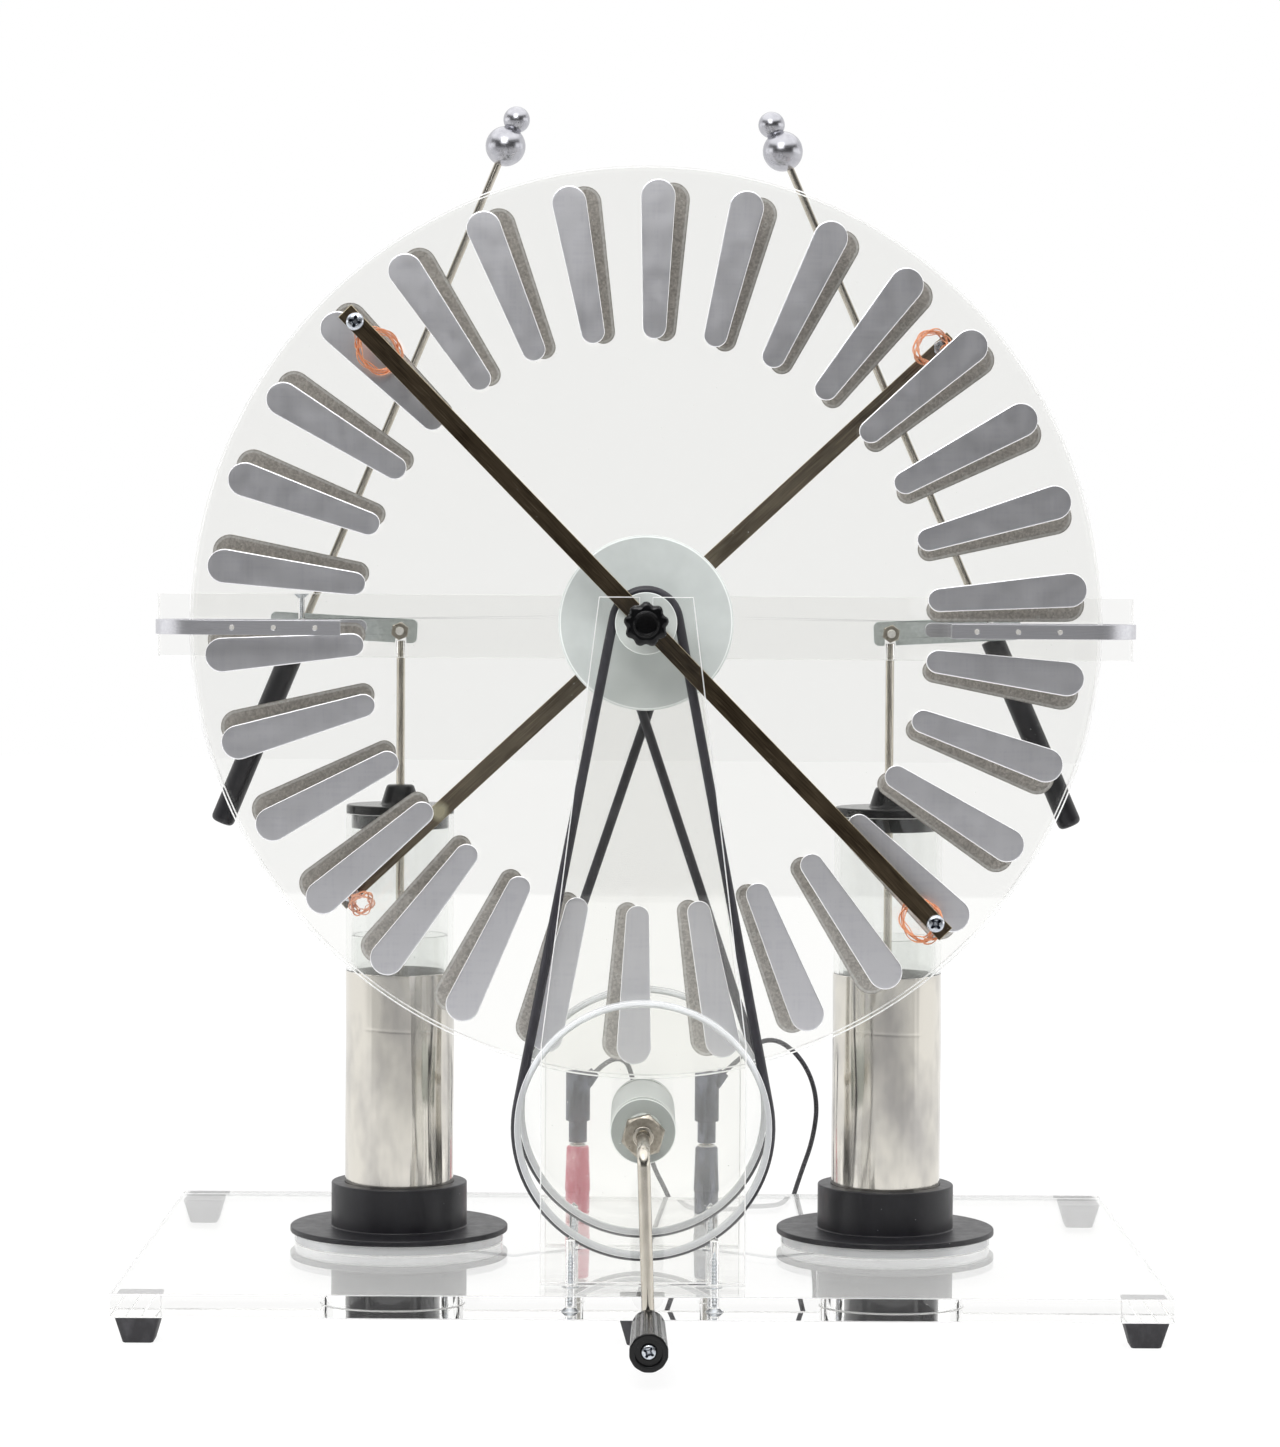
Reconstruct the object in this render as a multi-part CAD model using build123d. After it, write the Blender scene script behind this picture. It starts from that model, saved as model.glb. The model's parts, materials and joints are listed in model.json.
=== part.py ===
from build123d import *
from math import asin, cos, degrees, hypot, pi, radians, sin, tan
import os

os.makedirs("parts", exist_ok=True)

# Wimshurst machine: two acrylic discs that turn in opposite directions, driven by belts from one crank.
# X is to the right, Y goes away from the crank, Z is up. Z = 0 is the table under the rubber feet.
# The origin lies under the middle of the whole machine, crank included.
# Depths are measured from the plane midway between the discs: side -1 is the crank's side, side +1 the back.

# Base plate and feet
base_width = 350
base_depth = 220
base_thick = 8
foot_top = 15
foot_bottom = 10
foot_height = 9
foot_inset = 1.5
foot_corner = 1.2

# Discs and their metal sectors
disc_radius = 155
disc_thick = 3
disc_gap = 7.5
disc_setback = 60.5
sector_count = 30
sector_margin = 5
sector_length = 54
sector_outer_width = 11.7
sector_inner_width = 8
sector_thick = 0.3
front_phase = 1.3
rear_phase = 3.3

# Upper hubs and the fixed axle that they run on
axle_height = 220.3
axle_radius = 3
stud_radius = 1.9
running = 0.05
face_play = 0.1
side_play = 0.2
hub_spigot = 6
hub_spigot_beyond = 1
hub_flange_radius = 29.7
hub_flange_thick = 3.5
hub_chamfer = 0.6
hub_neck_radius = 8
hub_neck_length = 11.75
pulley_width = 5
hub_pulley_radius = 10.4
spacer_radius = 5

# Uprights
upright_width = 68.5
upright_top_width = 31.5
upright_straight = 80
upright_above = 9
upright_thick = 8
front_spacer = 3.2
axle_spacer_radius = 4.5
slot_width = 4
screw_spacing = 48
screw_radius = 1.5
screw_head_radius = 3
screw_point = 1.5
screw_bite = 16.2

# Belts
belt_radius = 1.65
belt_clear = 0.2
hub_belt_radius = 11
drive_belt_radius = 42.9
belt_crossing = 1.9
strand_lead_in = 0.06
strand_lead_out = 0.12
strand_tail = 0.4

# Crank, drive pulleys and bushes
crank_height = 50.5
drive_pulley_radius = 42.4
drive_hub_radius = 11
drive_spigot = 6
collar_thick = 3
rod_radius = 2.1
bush_radius = 3.5
bush_nut_across = 13
bush_nut_thick = 4.5
bush_reach = 1.5
rod_tail = 3
crank_reach = 21
crank_throw = 55.2
crank_angle = 2
crank_bend = 4.5
grip_start = 1.5
grip_length = 45
grip_near_radius = 6.2
grip_far_radius = 5.5
grip_flutes = 12
flute_radius = 1.3
flute_depth = 0.45
grip_recess_radius = 4.35
grip_recess = 2.4
grip_screw_radius = 3.2
grip_screw_head = 1.6
grip_screw_shank = 1.8

# Knobs on the ends of the axle
knob_radius = 7.5
knob_length = 11
knob_lobes = 9
knob_scallop = 2.2
knob_scallop_depth = 0.9
knob_hollow_radius = 3.75
knob_hollow = 1.2
knob_play = 0.15
stud_in_knob = 8

# Neutraliser bars and brushes
neutraliser_width = 6
neutraliser_thick = 2
neutraliser_reach = 144.5
brush_inset = 5
front_neutraliser_angle = 45.7
rear_neutraliser_angle = 43
brush_screw_radius = 3.1
brush_screw_head = 1.6
brush_screw_shank = 1.5
brush_nut_thick = 2
brush_wire = 0.8
brush_loop = 4.2
brush_gap = 0.35
brush_spread = 3.4

# Cross bar, stems and links
bar_length = 344
bar_height = 22.4
bar_thick = 10
bar_drop = 2.3
bar_screw_spacing = 20
bar_screw_length = 14
stem_x = 121.3
stem_radius = 2
clamp_radius = 1.1
clamp_head_radius = 2.8
clamp_head = 1.5
clamp_point = 0.2
link_width = 8.6
link_thick = 1
link_outer = 11.2
link_inner = 5.7
link_corner = 2
link_gap = 0.15
hook_clear = 0.15
hook_mouth = 2.4
stud_drop = 1.8
jar_stud_radius = 1.5
jar_nut_across = 5.6
jar_nut_thick = 2.2
stud_beyond_nut = 0.6
stud_beyond_bar = 1.5

# Collecting combs
comb_width = 5
comb_thick = 1.5
comb_overhang = 12
comb_front_end = 103
comb_rear_end = 96
comb_pin_gap = 2
comb_pin_length = 6
comb_pin_radius = 0.85
comb_pin_tip = 2
comb_pin_places = (111.5, 125.5, 139.5)
comb_screw_radius = 1.9
comb_screw_head = 1.3
comb_screw_shank = 0.95

# Electrodes
electrode_rod_radius = 1.35
left_electrode_angle = 22.6
right_electrode_angle = 23.6
large_ball_reach = 184
large_ball_radius = 7.1
small_ball_radius = 4.7
small_ball_beyond = 10.1
pivot_radius = 4
pivot_length = 8
pivot_gap = 0.3
handle_start = 4.3
handle_end = 76.7
handle_radius = 4.2
handle_round = 2
end_nut_across = 7
end_nut_thick = 3

# Leyden jars
jar_x = 86.3
jar_clear = 1.9
jar_pad_radius = 37
jar_pad_thick = 3.5
jar_flange_radius = 38.5
jar_flange_thick = 2
jar_spigot_radius = 24.5
jar_spigot_clear = 0.3
jar_collar_radius = 24
jar_collar_height = 15.5
jar_radius = 19
jar_wall = 1.8
jar_top = 152
foil_thick = 0.2
foil_top = 96
insert_wall = 1.2
insert_top = 109
insert_fit = 0.2
lining_top = 92
lid_thick = 3
lid_plug = 5.2
lid_bevel = 0.7
lid_boss_bottom = 6.7
lid_boss_top = 4.4
lid_boss_height = 7
jar_rod_radius = 1.5
jar_rod_in_bar = 6
jar_rod_end = 70
contact_thick = 2

# Sockets, bonding strips and the fasteners under the base
socket_x = 23.8
socket_setback = 182
sleeve_height = 24.8
sleeve_foot_radius = 4.4
sleeve_rib_radius = 4.65
sleeve_rib_height = 8.4
sleeve_top_radius = 4.1
sleeve_chamfer = 0.5
core_radius = 3
core_bore = 2.25
core_above = 0.7
core_bore_depth = 21
core_nut_across = 8
core_nut_thick = 2.5
jar_bolt_radius = 2
jar_bolt_head = 3.6
jar_bolt_head_thick = 2.4
strip_width = 2.2
strip_thick = 0.5
strip_bend = (45, 86)
strip_turn = (25, 103)

# Plugs and jumper lead
plug_neck_radius = 3.35
plug_neck_height = 8.7
plug_radius = 4.45
plug_height = 18.4
plug_chamfer = 0.6
plug_pin_radius = 1.6
plug_pin_length = 18
plug_cage_radius = 2.2
plug_cage_start = 3
plug_cage_length = 12
plug_hole_radius = 2.05
plug_hole_depth = 10
exit_radius = 2.1
exit_height = 13.5
exit_inset = 0.6
exit_length = 6.6
exit_heading = (1, 0.14, 1)
lead_radius = 0.9
lead_lift = 0.1
left_lead_start = 7
right_lead_start = 11.2
arc_share = 0.45

# Depths, stepped outwards from the plane between the discs
disc_out = disc_gap / 2 + disc_thick
sector_out = disc_out + sector_thick
flange_out = disc_out + hub_flange_thick
neck_out = flange_out + hub_neck_length
pulley_out = neck_out + pulley_width
belt_plane = neck_out + pulley_width / 2
neutraliser_in = pulley_out + side_play
neutraliser_out = neutraliser_in + neutraliser_thick
comb_in = sector_out + comb_pin_gap + comb_pin_length
comb_out = comb_in + comb_thick
jar_depth = neutraliser_out + jar_clear + jar_radius
bar_in = jar_depth - bar_thick / 2
bar_out = bar_in + bar_thick
front_upright_in = neutraliser_out + face_play + front_spacer
front_upright_out = front_upright_in + upright_thick
rear_upright_in = bar_in - upright_thick
link_in = bar_out + link_gap
link_out = link_in + link_thick
pivot_in = link_out + pivot_gap
pivot_out = pivot_in + pivot_length

# Places that the rest is built on
base_under = foot_height
base_top = foot_height + base_thick
axle_z = base_top + axle_height
crank_z = base_top + crank_height
bar_z = axle_z - bar_drop
bar_top = bar_z + bar_height / 2
bar_bottom = bar_z - bar_height / 2
handle_reach = crank_reach + crank_bend + grip_start + grip_length
front_y = (handle_reach - base_depth) / 2
disc_y = front_y + disc_setback
bar_y = disc_y + jar_depth
socket_y = front_y + socket_setback
belt_ratio = drive_belt_radius / hub_belt_radius

upwards = (Align.CENTER, Align.CENTER, Align.MIN)


def save(name, *pieces):
    """Write the solids of one sub-part to a STEP file of its own."""
    solids = [solid for piece in pieces for solid in piece.solids()]
    export_step(Compound(children=solids), f"parts/{name}.step")


def slab(outline, start, end):
    """An outline drawn as seen from the front, made solid from Y = start back to Y = end."""
    return Pos(0, start, 0) * extrude(Plane.XZ * outline, amount=start - end)


def turned(points):
    """A piece turned about Y, from points of radius and distance along Y."""
    return revolve(make_face(Polyline(*points, close=True)), Axis.Y)


def turned_up(points):
    """A piece turned about Z, from points of radius and height."""
    return revolve(Plane.XZ * make_face(Polyline(*points, close=True)), Axis.Z)


def on_side(side, piece, x=0, z=0):
    """Put a piece that was drawn outwards along +Y on its side of the discs."""
    facing = piece if side > 0 else mirror(piece, about=Plane.XZ)
    return Pos(x, disc_y, z) * facing


def both_hands(piece, z=0):
    """A piece of the right hand end behind the discs, and its mirror image at the left hand end."""
    return [on_side(1, hand, z=z) for hand in (mirror(piece, about=Plane.YZ), piece)]


def hexagon(across):
    return RegularPolygon(across / 2, 6, major_radius=False)


def capsule(start, end, start_radius, end_radius):
    """The outline round two circles, for rounded strips and sectors."""
    circles = Pos(*start) * Circle(start_radius) + Pos(*end) * Circle(end_radius)
    return make_hull(circles.edges())


def corner_radii(points):
    """The largest arc that the two runs at each corner of a route have room for."""
    radii = []
    for before, corner, after in zip(points, points[1:], points[2:]):
        run_in = Vector(*corner) - Vector(*before)
        run_out = Vector(*after) - Vector(*corner)
        half_turn = radians(run_in.get_angle(run_out)) / 2
        radii.append(arc_share * min(run_in.length, run_out.length) / tan(half_turn))
    return radii


def route(points):
    """Straight runs joined by tangent arcs."""
    return FilletPolyline(*points, radius=corner_radii(points))


def tube(path, radius):
    """A round bar or tube along a path."""
    return sweep(Plane(origin=path @ 0, z_dir=path % 0) * Circle(radius), path=path)


def countersunk(shank_radius, head_radius, head, length, point):
    """A countersunk screw with its flat head at Z = 0 and its point upwards."""
    return turned_up([
        (0, 0), (head_radius, 0), (shank_radius, head), (shank_radius, length - point), (0, length),
    ])


def wood_screw(length):
    """A screw of the kind that holds the uprights and the cross bar."""
    return countersunk(screw_radius, screw_head_radius, screw_head_radius - screw_radius, length, screw_point)


# Base plate, with holes for the upright screws, the jar holders and the sockets

front_upright_middle = disc_y - (front_upright_in + front_upright_out) / 2
rear_upright_middle = disc_y + (rear_upright_in + bar_in) / 2
screw_xs = (-screw_spacing / 2, screw_spacing / 2)
upright_screw = wood_screw(base_thick + screw_bite)
front_screws = [Pos(x, front_upright_middle, base_under) * upright_screw for x in screw_xs]
rear_screws = [Pos(x, rear_upright_middle, base_under) * upright_screw for x in screw_xs]
base = Pos(0, front_y + base_depth / 2, base_under) * Box(base_width, base_depth, base_thick, align=upwards)
for screw in front_screws + rear_screws:
    base -= screw
jar_hole_radius = jar_spigot_radius + jar_spigot_clear
for side in (-1, 1):
    base -= Pos(side * jar_x, bar_y, base_under) * Cylinder(jar_hole_radius, base_thick, align=upwards)
    base -= Pos(side * socket_x, socket_y, base_under) * Cylinder(core_radius, base_thick, align=upwards)
save("base_plate", base)

foot = loft([
    RectangleRounded(foot_bottom, foot_bottom, foot_corner),
    Pos(0, 0, foot_height) * RectangleRounded(foot_top, foot_top, foot_corner),
])
foot_x = base_width / 2 - foot_inset - foot_top / 2
foot_front = front_y + foot_inset + foot_top / 2
foot_back = front_y + base_depth - foot_inset - foot_top / 2
foot_places = [(x, foot_front) for x in (-foot_x, 0, foot_x)]
foot_places += [(x, foot_back) for x in (-foot_x, foot_x)]
save("rubber_feet", *[Pos(x, y, 0) * foot for x, y in foot_places])

# Uprights, slotted at the top for the axle and bored for the crank's bush

upright_top = axle_height + upright_above
upright_outline = make_face(Polyline(
    (-upright_width / 2, 0), (upright_width / 2, 0), (upright_width / 2, upright_straight),
    (upright_top_width / 2, upright_top), (-upright_top_width / 2, upright_top),
    (-upright_width / 2, upright_straight), close=True,
))
axle_slot = Pos(0, axle_height) * Circle(slot_width / 2)
axle_slot += Pos(0, axle_height + upright_above / 2) * Rectangle(slot_width, upright_above)
upright_outline -= axle_slot
upright_outline -= Pos(0, crank_height) * Circle(bush_radius)
front_upright = slab(upright_outline, front_upright_in, front_upright_out)
front_upright = on_side(-1, front_upright, z=base_top)
rear_upright = on_side(1, slab(upright_outline, rear_upright_in, bar_in), z=base_top)

bar_screw = Rot(90, 0, 0) * wood_screw(bar_screw_length)
bar_screw_xs = (-bar_screw_spacing / 2, bar_screw_spacing / 2)
bar_screws = [Pos(x, disc_y + bar_out, bar_z) * bar_screw for x in bar_screw_xs]
for screw in front_screws:
    front_upright -= screw
for screw in rear_screws + bar_screws:
    rear_upright -= screw
save("front_upright", front_upright)
save("rear_upright", rear_upright)

# Fixed axle: a thick middle for the hubs, a thin stud at each end, and a spacer against each upright

stud_start = knob_play + stud_in_knob
axle = slab(Circle(axle_radius), -neutraliser_in, neutraliser_in)
axle += slab(Circle(stud_radius), -front_upright_out - stud_start, bar_out + stud_start)
spacer_half = disc_gap / 2 - hub_spigot_beyond
hub_spacer_half = spacer_half - face_play
hub_spacer = slab(Circle(spacer_radius) - Circle(axle_radius), -hub_spacer_half, hub_spacer_half)
spacer_ring = Circle(axle_spacer_radius) - Circle(stud_radius)
save("disc_axle", Pos(0, disc_y, axle_z) * axle)
save("hub_spacer", Pos(0, disc_y, axle_z) * hub_spacer)
save(
    "axle_spacers",
    on_side(-1, slab(spacer_ring, neutraliser_out + face_play, front_upright_in), z=axle_z),
    on_side(1, slab(spacer_ring, neutraliser_out + face_play, rear_upright_in), z=axle_z),
)

# Hub: spigot through the disc, wide flange, neck and small grooved pulley, turned in one piece

hub = turned([
    (axle_radius + running, spacer_half), (hub_spigot, spacer_half), (hub_spigot, disc_out),
    (hub_flange_radius, disc_out), (hub_flange_radius, flange_out - hub_chamfer),
    (hub_flange_radius - hub_chamfer, flange_out), (hub_neck_radius, flange_out),
    (hub_neck_radius, neck_out), (hub_pulley_radius, neck_out), (hub_pulley_radius, pulley_out),
    (axle_radius + running, pulley_out),
])
hub -= Pos(0, belt_plane, 0) * Rot(90, 0, 0) * Torus(hub_belt_radius, belt_radius + belt_clear)

# Disc and its sectors: each sector is a foil strip that is wider at the rim

sector_outer = disc_radius - sector_margin
sector_inner = sector_outer - sector_length
disc = slab(Circle(disc_radius) - Circle(hub_spigot), disc_gap / 2, disc_out)
sector_outline = capsule(
    (0, sector_inner + sector_inner_width / 2), (0, sector_outer - sector_outer_width / 2),
    sector_inner_width / 2, sector_outer_width / 2,
)
sector = slab(sector_outline, disc_out, sector_out)
for name, side, phase in (("front", -1, front_phase), ("rear", 1, rear_phase)):
    sectors = [Rot(0, phase + 360 * n / sector_count, 0) * sector for n in range(sector_count)]
    save(f"{name}_disc", on_side(side, disc, z=axle_z))
    save(f"{name}_sectors", *[on_side(side, piece, z=axle_z) for piece in sectors])
    save(f"{name}_hub", on_side(side, hub, z=axle_z))

# Crank: a bent rod through both uprights, with a turned hub that carries two grooved pulleys

arm_y = front_y - crank_reach
grip_end_y = front_y - handle_reach
rod_path = FilletPolyline(
    (0, disc_y + bar_in + bush_nut_thick + bush_reach + rod_tail, 0), (0, arm_y, 0),
    (0, arm_y, -crank_throw), (0, grip_end_y + grip_recess, -crank_throw), radius=crank_bend,
)
crank_turn = Pos(0, 0, crank_z) * Rot(0, -crank_angle, 0)
save("crank_rod", crank_turn * tube(rod_path, rod_radius))

drive_hub = slab(Circle(drive_hub_radius) - Circle(rod_radius), -neck_out, neck_out)
spigot = slab(Circle(drive_spigot) - Circle(rod_radius), neck_out, pulley_out + collar_thick)
drive_hub += spigot + mirror(spigot, about=Plane.XZ)
save("drive_hub", Pos(0, disc_y, crank_z) * drive_hub)

drive_pulley = slab(Circle(drive_pulley_radius) - Circle(drive_spigot), neck_out, pulley_out)
drive_pulley -= Pos(0, belt_plane, 0) * Rot(90, 0, 0) * Torus(drive_belt_radius, belt_radius + belt_clear)
collar = slab(Circle(drive_hub_radius) - Circle(drive_spigot), pulley_out, pulley_out + collar_thick)
save("drive_pulleys", *[on_side(side, drive_pulley, z=crank_z) for side in (-1, 1)])
save("pulley_collars", *[on_side(side, collar, z=crank_z) for side in (-1, 1)])

# Grip: a fluted, tapered handle that turns on the crank's end behind a screw

grip_bore = rod_radius + running
grip = turned([
    (grip_bore, grip_recess), (grip_recess_radius, grip_recess), (grip_recess_radius, 0),
    (grip_near_radius, 0), (grip_far_radius, grip_length), (grip_bore, grip_length),
])
grip_taper = degrees(asin((grip_near_radius - grip_far_radius) / grip_length))
flute = Rot(90 + grip_taper, 0, 0) * Cylinder(flute_radius, 2 * grip_length)
flute_centre = (grip_near_radius + grip_far_radius) / 2 + flute_radius - flute_depth
for n in range(grip_flutes):
    grip -= Rot(0, 360 * n / grip_flutes, 0) * Pos(0, grip_length / 2, flute_centre) * flute
grip_place = crank_turn * Pos(0, grip_end_y, -crank_throw)
save("crank_grip", grip_place * grip)

screw_seat = grip_recess - face_play
grip_screw = slab(Circle(grip_screw_radius), screw_seat - grip_screw_head, screw_seat)
grip_screw += slab(Circle(grip_screw_shank), screw_seat, grip_recess)
save("grip_screw", grip_place * grip_screw)

# Bushes that the crank turns in, pinched by a nut outside each upright

bush_ring = Circle(bush_radius) - Circle(rod_radius + running)
bush_nut_ring = hexagon(bush_nut_across) - Circle(bush_radius)
bushes = []
bush_nuts = []
for side, inner in ((-1, front_upright_in), (1, rear_upright_in)):
    outer = inner + upright_thick
    bushes.append(on_side(side, slab(bush_ring, inner, outer + bush_nut_thick + bush_reach), z=crank_z))
    bush_nuts.append(on_side(side, slab(bush_nut_ring, outer, outer + bush_nut_thick), z=crank_z))
save("crank_bushes", *bushes)

# Belts: the front one is open, the rear one is crossed so that its disc turns the other way

centre_distance = axle_height - crank_height


def belt_arc(circle, height, middle, wrap):
    """The part of a belt that lies round a pulley, centred on the angle middle."""
    section = Pos(circle, 0, 0) * Circle(belt_radius)
    arc = revolve(Plane.XZ * section, Axis.Z, wrap)
    return Pos(0, 0, height) * Rot(90, 0, 0) * Rot(0, 0, middle - wrap / 2) * arc


def rim_point(circle, height, angle):
    """The point of a belt's line on its pulley at an angle from the right hand side."""
    return Vector(circle * cos(radians(angle)), 0, height + circle * sin(radians(angle)))


open_tilt = degrees(asin((drive_belt_radius - hub_belt_radius) / centre_distance))
front_belt = belt_arc(hub_belt_radius, axle_z, 90, 180 - 2 * open_tilt)
front_belt += belt_arc(drive_belt_radius, crank_z, -90, 180 + 2 * open_tilt)
for angle in (open_tilt, 180 - open_tilt):
    top = rim_point(hub_belt_radius, axle_z, angle)
    bottom = rim_point(drive_belt_radius, crank_z, angle)
    front_belt += tube(Line(top, bottom), belt_radius)
save("front_belt", Pos(0, disc_y - belt_plane, 0) * front_belt)

cross_tilt = degrees(asin((drive_belt_radius + hub_belt_radius) / centre_distance))
rear_belt = belt_arc(hub_belt_radius, axle_z, 90, 180 + 2 * cross_tilt)
rear_belt += belt_arc(drive_belt_radius, crank_z, -90, 180 + 2 * cross_tilt)
for hand in (-1, 1):
    top = rim_point(hub_belt_radius, axle_z, 90 - hand * (90 + cross_tilt))
    bottom = rim_point(drive_belt_radius, crank_z, 90 + hand * (90 - cross_tilt))
    run = bottom - top
    crossing = top + run * (hub_belt_radius / (hub_belt_radius + drive_belt_radius))
    crossing += Vector(0, hand * belt_crossing, 0)
    past_crossing = crossing + run * strand_lead_out
    stations = [
        top, top + run * strand_lead_in, crossing, past_crossing, bottom - run * strand_tail, bottom,
    ]
    rear_belt += tube(route([tuple(point) for point in stations]), belt_radius)
save("rear_belt", Pos(0, disc_y + belt_plane, 0) * rear_belt)

# Knobs that clamp the axle in its slots

knob_outline = Circle(knob_radius)
scallop_centre = knob_radius + knob_scallop - knob_scallop_depth
knob_outline -= PolarLocations(scallop_centre, knob_lobes) * Circle(knob_scallop)
knob = slab(knob_outline, 0, knob_length)
knob -= slab(Circle(stud_radius + running), 0, stud_in_knob + face_play)
knob -= slab(Circle(knob_hollow_radius), knob_length - knob_hollow, knob_length)
for name, side, seat in (("front", -1, front_upright_out), ("rear", 1, bar_out)):
    save(f"{name}_knob", on_side(side, Pos(0, seat + knob_play, 0) * knob, z=axle_z))

# Neutraliser bars, each with a wire brush at both ends

neutraliser = Rectangle(2 * neutraliser_reach, neutraliser_width) - Circle(stud_radius + running)
brush_radius_out = neutraliser_reach - brush_inset
brush_start = neutraliser_in - brush_nut_thick
brush_end = sector_out + brush_gap + brush_wire
leg_end = brush_end + brush_loop
loop_line = Polyline((-brush_loop, brush_start, 0), (-brush_loop, leg_end, 0))
loop_line += ThreePointArc((-brush_loop, leg_end, 0), (0, brush_end, 0), (brush_loop, leg_end, 0))
loop_line += Line((brush_loop, leg_end, 0), (brush_loop, brush_start, 0))
brush_wire_loop = sweep(
    Plane(origin=(-brush_loop, brush_start, 0), z_dir=(0, -1, 0)) * Circle(brush_wire), path=loop_line
)
brush_nut_ring = Circle(brush_screw_radius) - Circle(brush_screw_shank)
brush_screw = slab(Circle(brush_screw_radius), neutraliser_out, neutraliser_out + brush_screw_head)
brush_screw += slab(Circle(brush_screw_shank), brush_start, neutraliser_out)
brush_nut = slab(brush_nut_ring, brush_start, neutraliser_in)
brush_places = (-brush_radius_out, brush_radius_out)
for x in brush_places:
    neutraliser -= Pos(x, 0) * Circle(brush_screw_shank)
neutraliser = slab(neutraliser, neutraliser_in, neutraliser_out)
neutraliser_screws = [Pos(x, 0, 0) * piece for x in brush_places for piece in (brush_screw, brush_nut)]
neutraliser_brushes = [
    Pos(x, 0, tilt) * brush_wire_loop for x in brush_places for tilt in (-brush_spread, brush_spread)
]


def set_neutraliser(side, piece):
    """Turn a piece of a neutraliser to the slant that its bar is set at."""
    angle = front_neutraliser_angle if side < 0 else -rear_neutraliser_angle
    return on_side(side, Rot(0, angle, 0) * piece, z=axle_z)


for name, side in (("front", -1), ("rear", 1)):
    save(f"{name}_neutraliser", set_neutraliser(side, neutraliser))
    save(f"{name}_brushes", *[set_neutraliser(side, piece) for piece in neutraliser_brushes])
    save(f"{name}_brush_screws", *[set_neutraliser(side, piece) for piece in neutraliser_screws])

# Cross bar on the back of the rear upright, drilled for everything that it carries

jar_stud_z = bar_z - stud_drop
clamp_length = bar_height / 2 - stem_radius
clamp = Rot(180, 0, 0) * countersunk(clamp_radius, clamp_head_radius, clamp_head, clamp_length, clamp_point)
clamps = [Pos(x, bar_y, bar_top) * clamp for x in (-stem_x, stem_x)]
bar_outline = Pos(0, bar_z) * Rectangle(bar_length, bar_height) - Pos(0, axle_z) * Circle(slot_width / 2)
for side in (-1, 1):
    bar_outline -= Pos(side * stem_x, bar_z) * Circle(stem_radius)
    bar_outline -= Pos(side * jar_x, jar_stud_z) * Circle(jar_stud_radius)
bar = on_side(1, slab(bar_outline, bar_in, bar_out))
for screw in bar_screws + clamps:
    bar -= screw
for side in (-1, 1):
    bar -= Pos(side * jar_x, bar_y, bar_bottom) * Cylinder(jar_rod_radius, jar_rod_in_bar, align=upwards)
save("cross_bar", bar)

# Stems join a comb, a link strip and an electrode through the bar, and shorter studs meet the jars' rods

stem_nut_in = pivot_out + face_play
stem_nut_out = stem_nut_in + end_nut_thick
stem = slab(Circle(stem_radius), comb_out, stem_nut_out)
stem_nut = slab(hexagon(end_nut_across) - Circle(stem_radius), stem_nut_in, stem_nut_out)
jar_stud = slab(Circle(jar_stud_radius), bar_in - jar_nut_thick - stud_beyond_nut, bar_out + stud_beyond_bar)
jar_nut = slab(hexagon(jar_nut_across) - Circle(jar_stud_radius), bar_in - jar_nut_thick, bar_in)
stems = both_hands(Pos(stem_x, 0, 0) * stem, z=bar_z)
jar_studs = both_hands(Pos(jar_x, 0, 0) * jar_stud, z=jar_stud_z)
stem_nuts = both_hands(Pos(stem_x, 0, 0) * stem_nut, z=bar_z)
jar_nuts = both_hands(Pos(jar_x, 0, 0) * jar_nut, z=jar_stud_z)
save("bar_studs", *stems, *jar_studs)

# Link strips: each hooks over its jar stud and swings up to cut the jar off

stud_reach = stem_x - jar_x
link_length = link_outer + stud_reach + link_inner
link_outline = Pos(link_length / 2 - link_outer, 0) * RectangleRounded(link_length, link_width, link_corner)
hook_x = hypot(stud_reach, stud_drop)
link_outline -= Circle(stem_radius + running)
link_outline -= capsule((hook_x, 0), (hook_x, -link_width), jar_stud_radius + hook_clear, hook_mouth)
link_drop = degrees(asin(stud_drop / hook_x))
left_link = Rot(0, link_drop, 0) * slab(link_outline, link_in, link_out)
save("left_link", on_side(1, left_link, -stem_x, bar_z))
save("right_link", on_side(1, mirror(left_link, about=Plane.YZ), stem_x, bar_z))

# Combs: a strip bent round the edge of both discs, with three pins towards each

comb_middle = (comb_in + comb_out) / 2
bend_x = disc_radius + comb_overhang - comb_out
front_arm = bend_x - comb_front_end
rear_arm = bend_x - comb_rear_end
comb_plan = Pos(bend_x, 0) * (Circle(comb_out) - Circle(comb_in))
comb_plan -= Pos(bend_x - comb_out, 0) * Rectangle(2 * comb_out, 2 * comb_out)
comb_plan += Pos(bend_x - front_arm / 2, -comb_middle) * Rectangle(front_arm, comb_thick)
comb_plan += Pos(bend_x - rear_arm / 2, comb_middle) * Rectangle(rear_arm, comb_thick)
comb = extrude(comb_plan, amount=comb_width / 2, both=True)
end_corner = Pos(comb_width / 4, 0) * Rectangle(comb_width / 2, comb_width)
end_corner -= Pos(comb_width / 2, 0) * Circle(comb_width / 2)
comb -= slab(Pos(comb_rear_end, 0) * end_corner, comb_in, comb_out)
comb -= slab(Pos(stem_x, 0) * Circle(comb_screw_shank), comb_in, comb_out)
comb_screw = slab(Pos(stem_x, 0) * Circle(comb_screw_radius), comb_in - comb_screw_head, comb_in)
comb_screw += slab(Pos(stem_x, 0) * Circle(comb_screw_shank), comb_in, comb_out)
pin_tip = sector_out + comb_pin_gap
pin = turned([
    (0, pin_tip), (comb_pin_radius, pin_tip + comb_pin_tip), (comb_pin_radius, comb_out), (0, comb_out),
])
comb_pins = []
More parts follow.
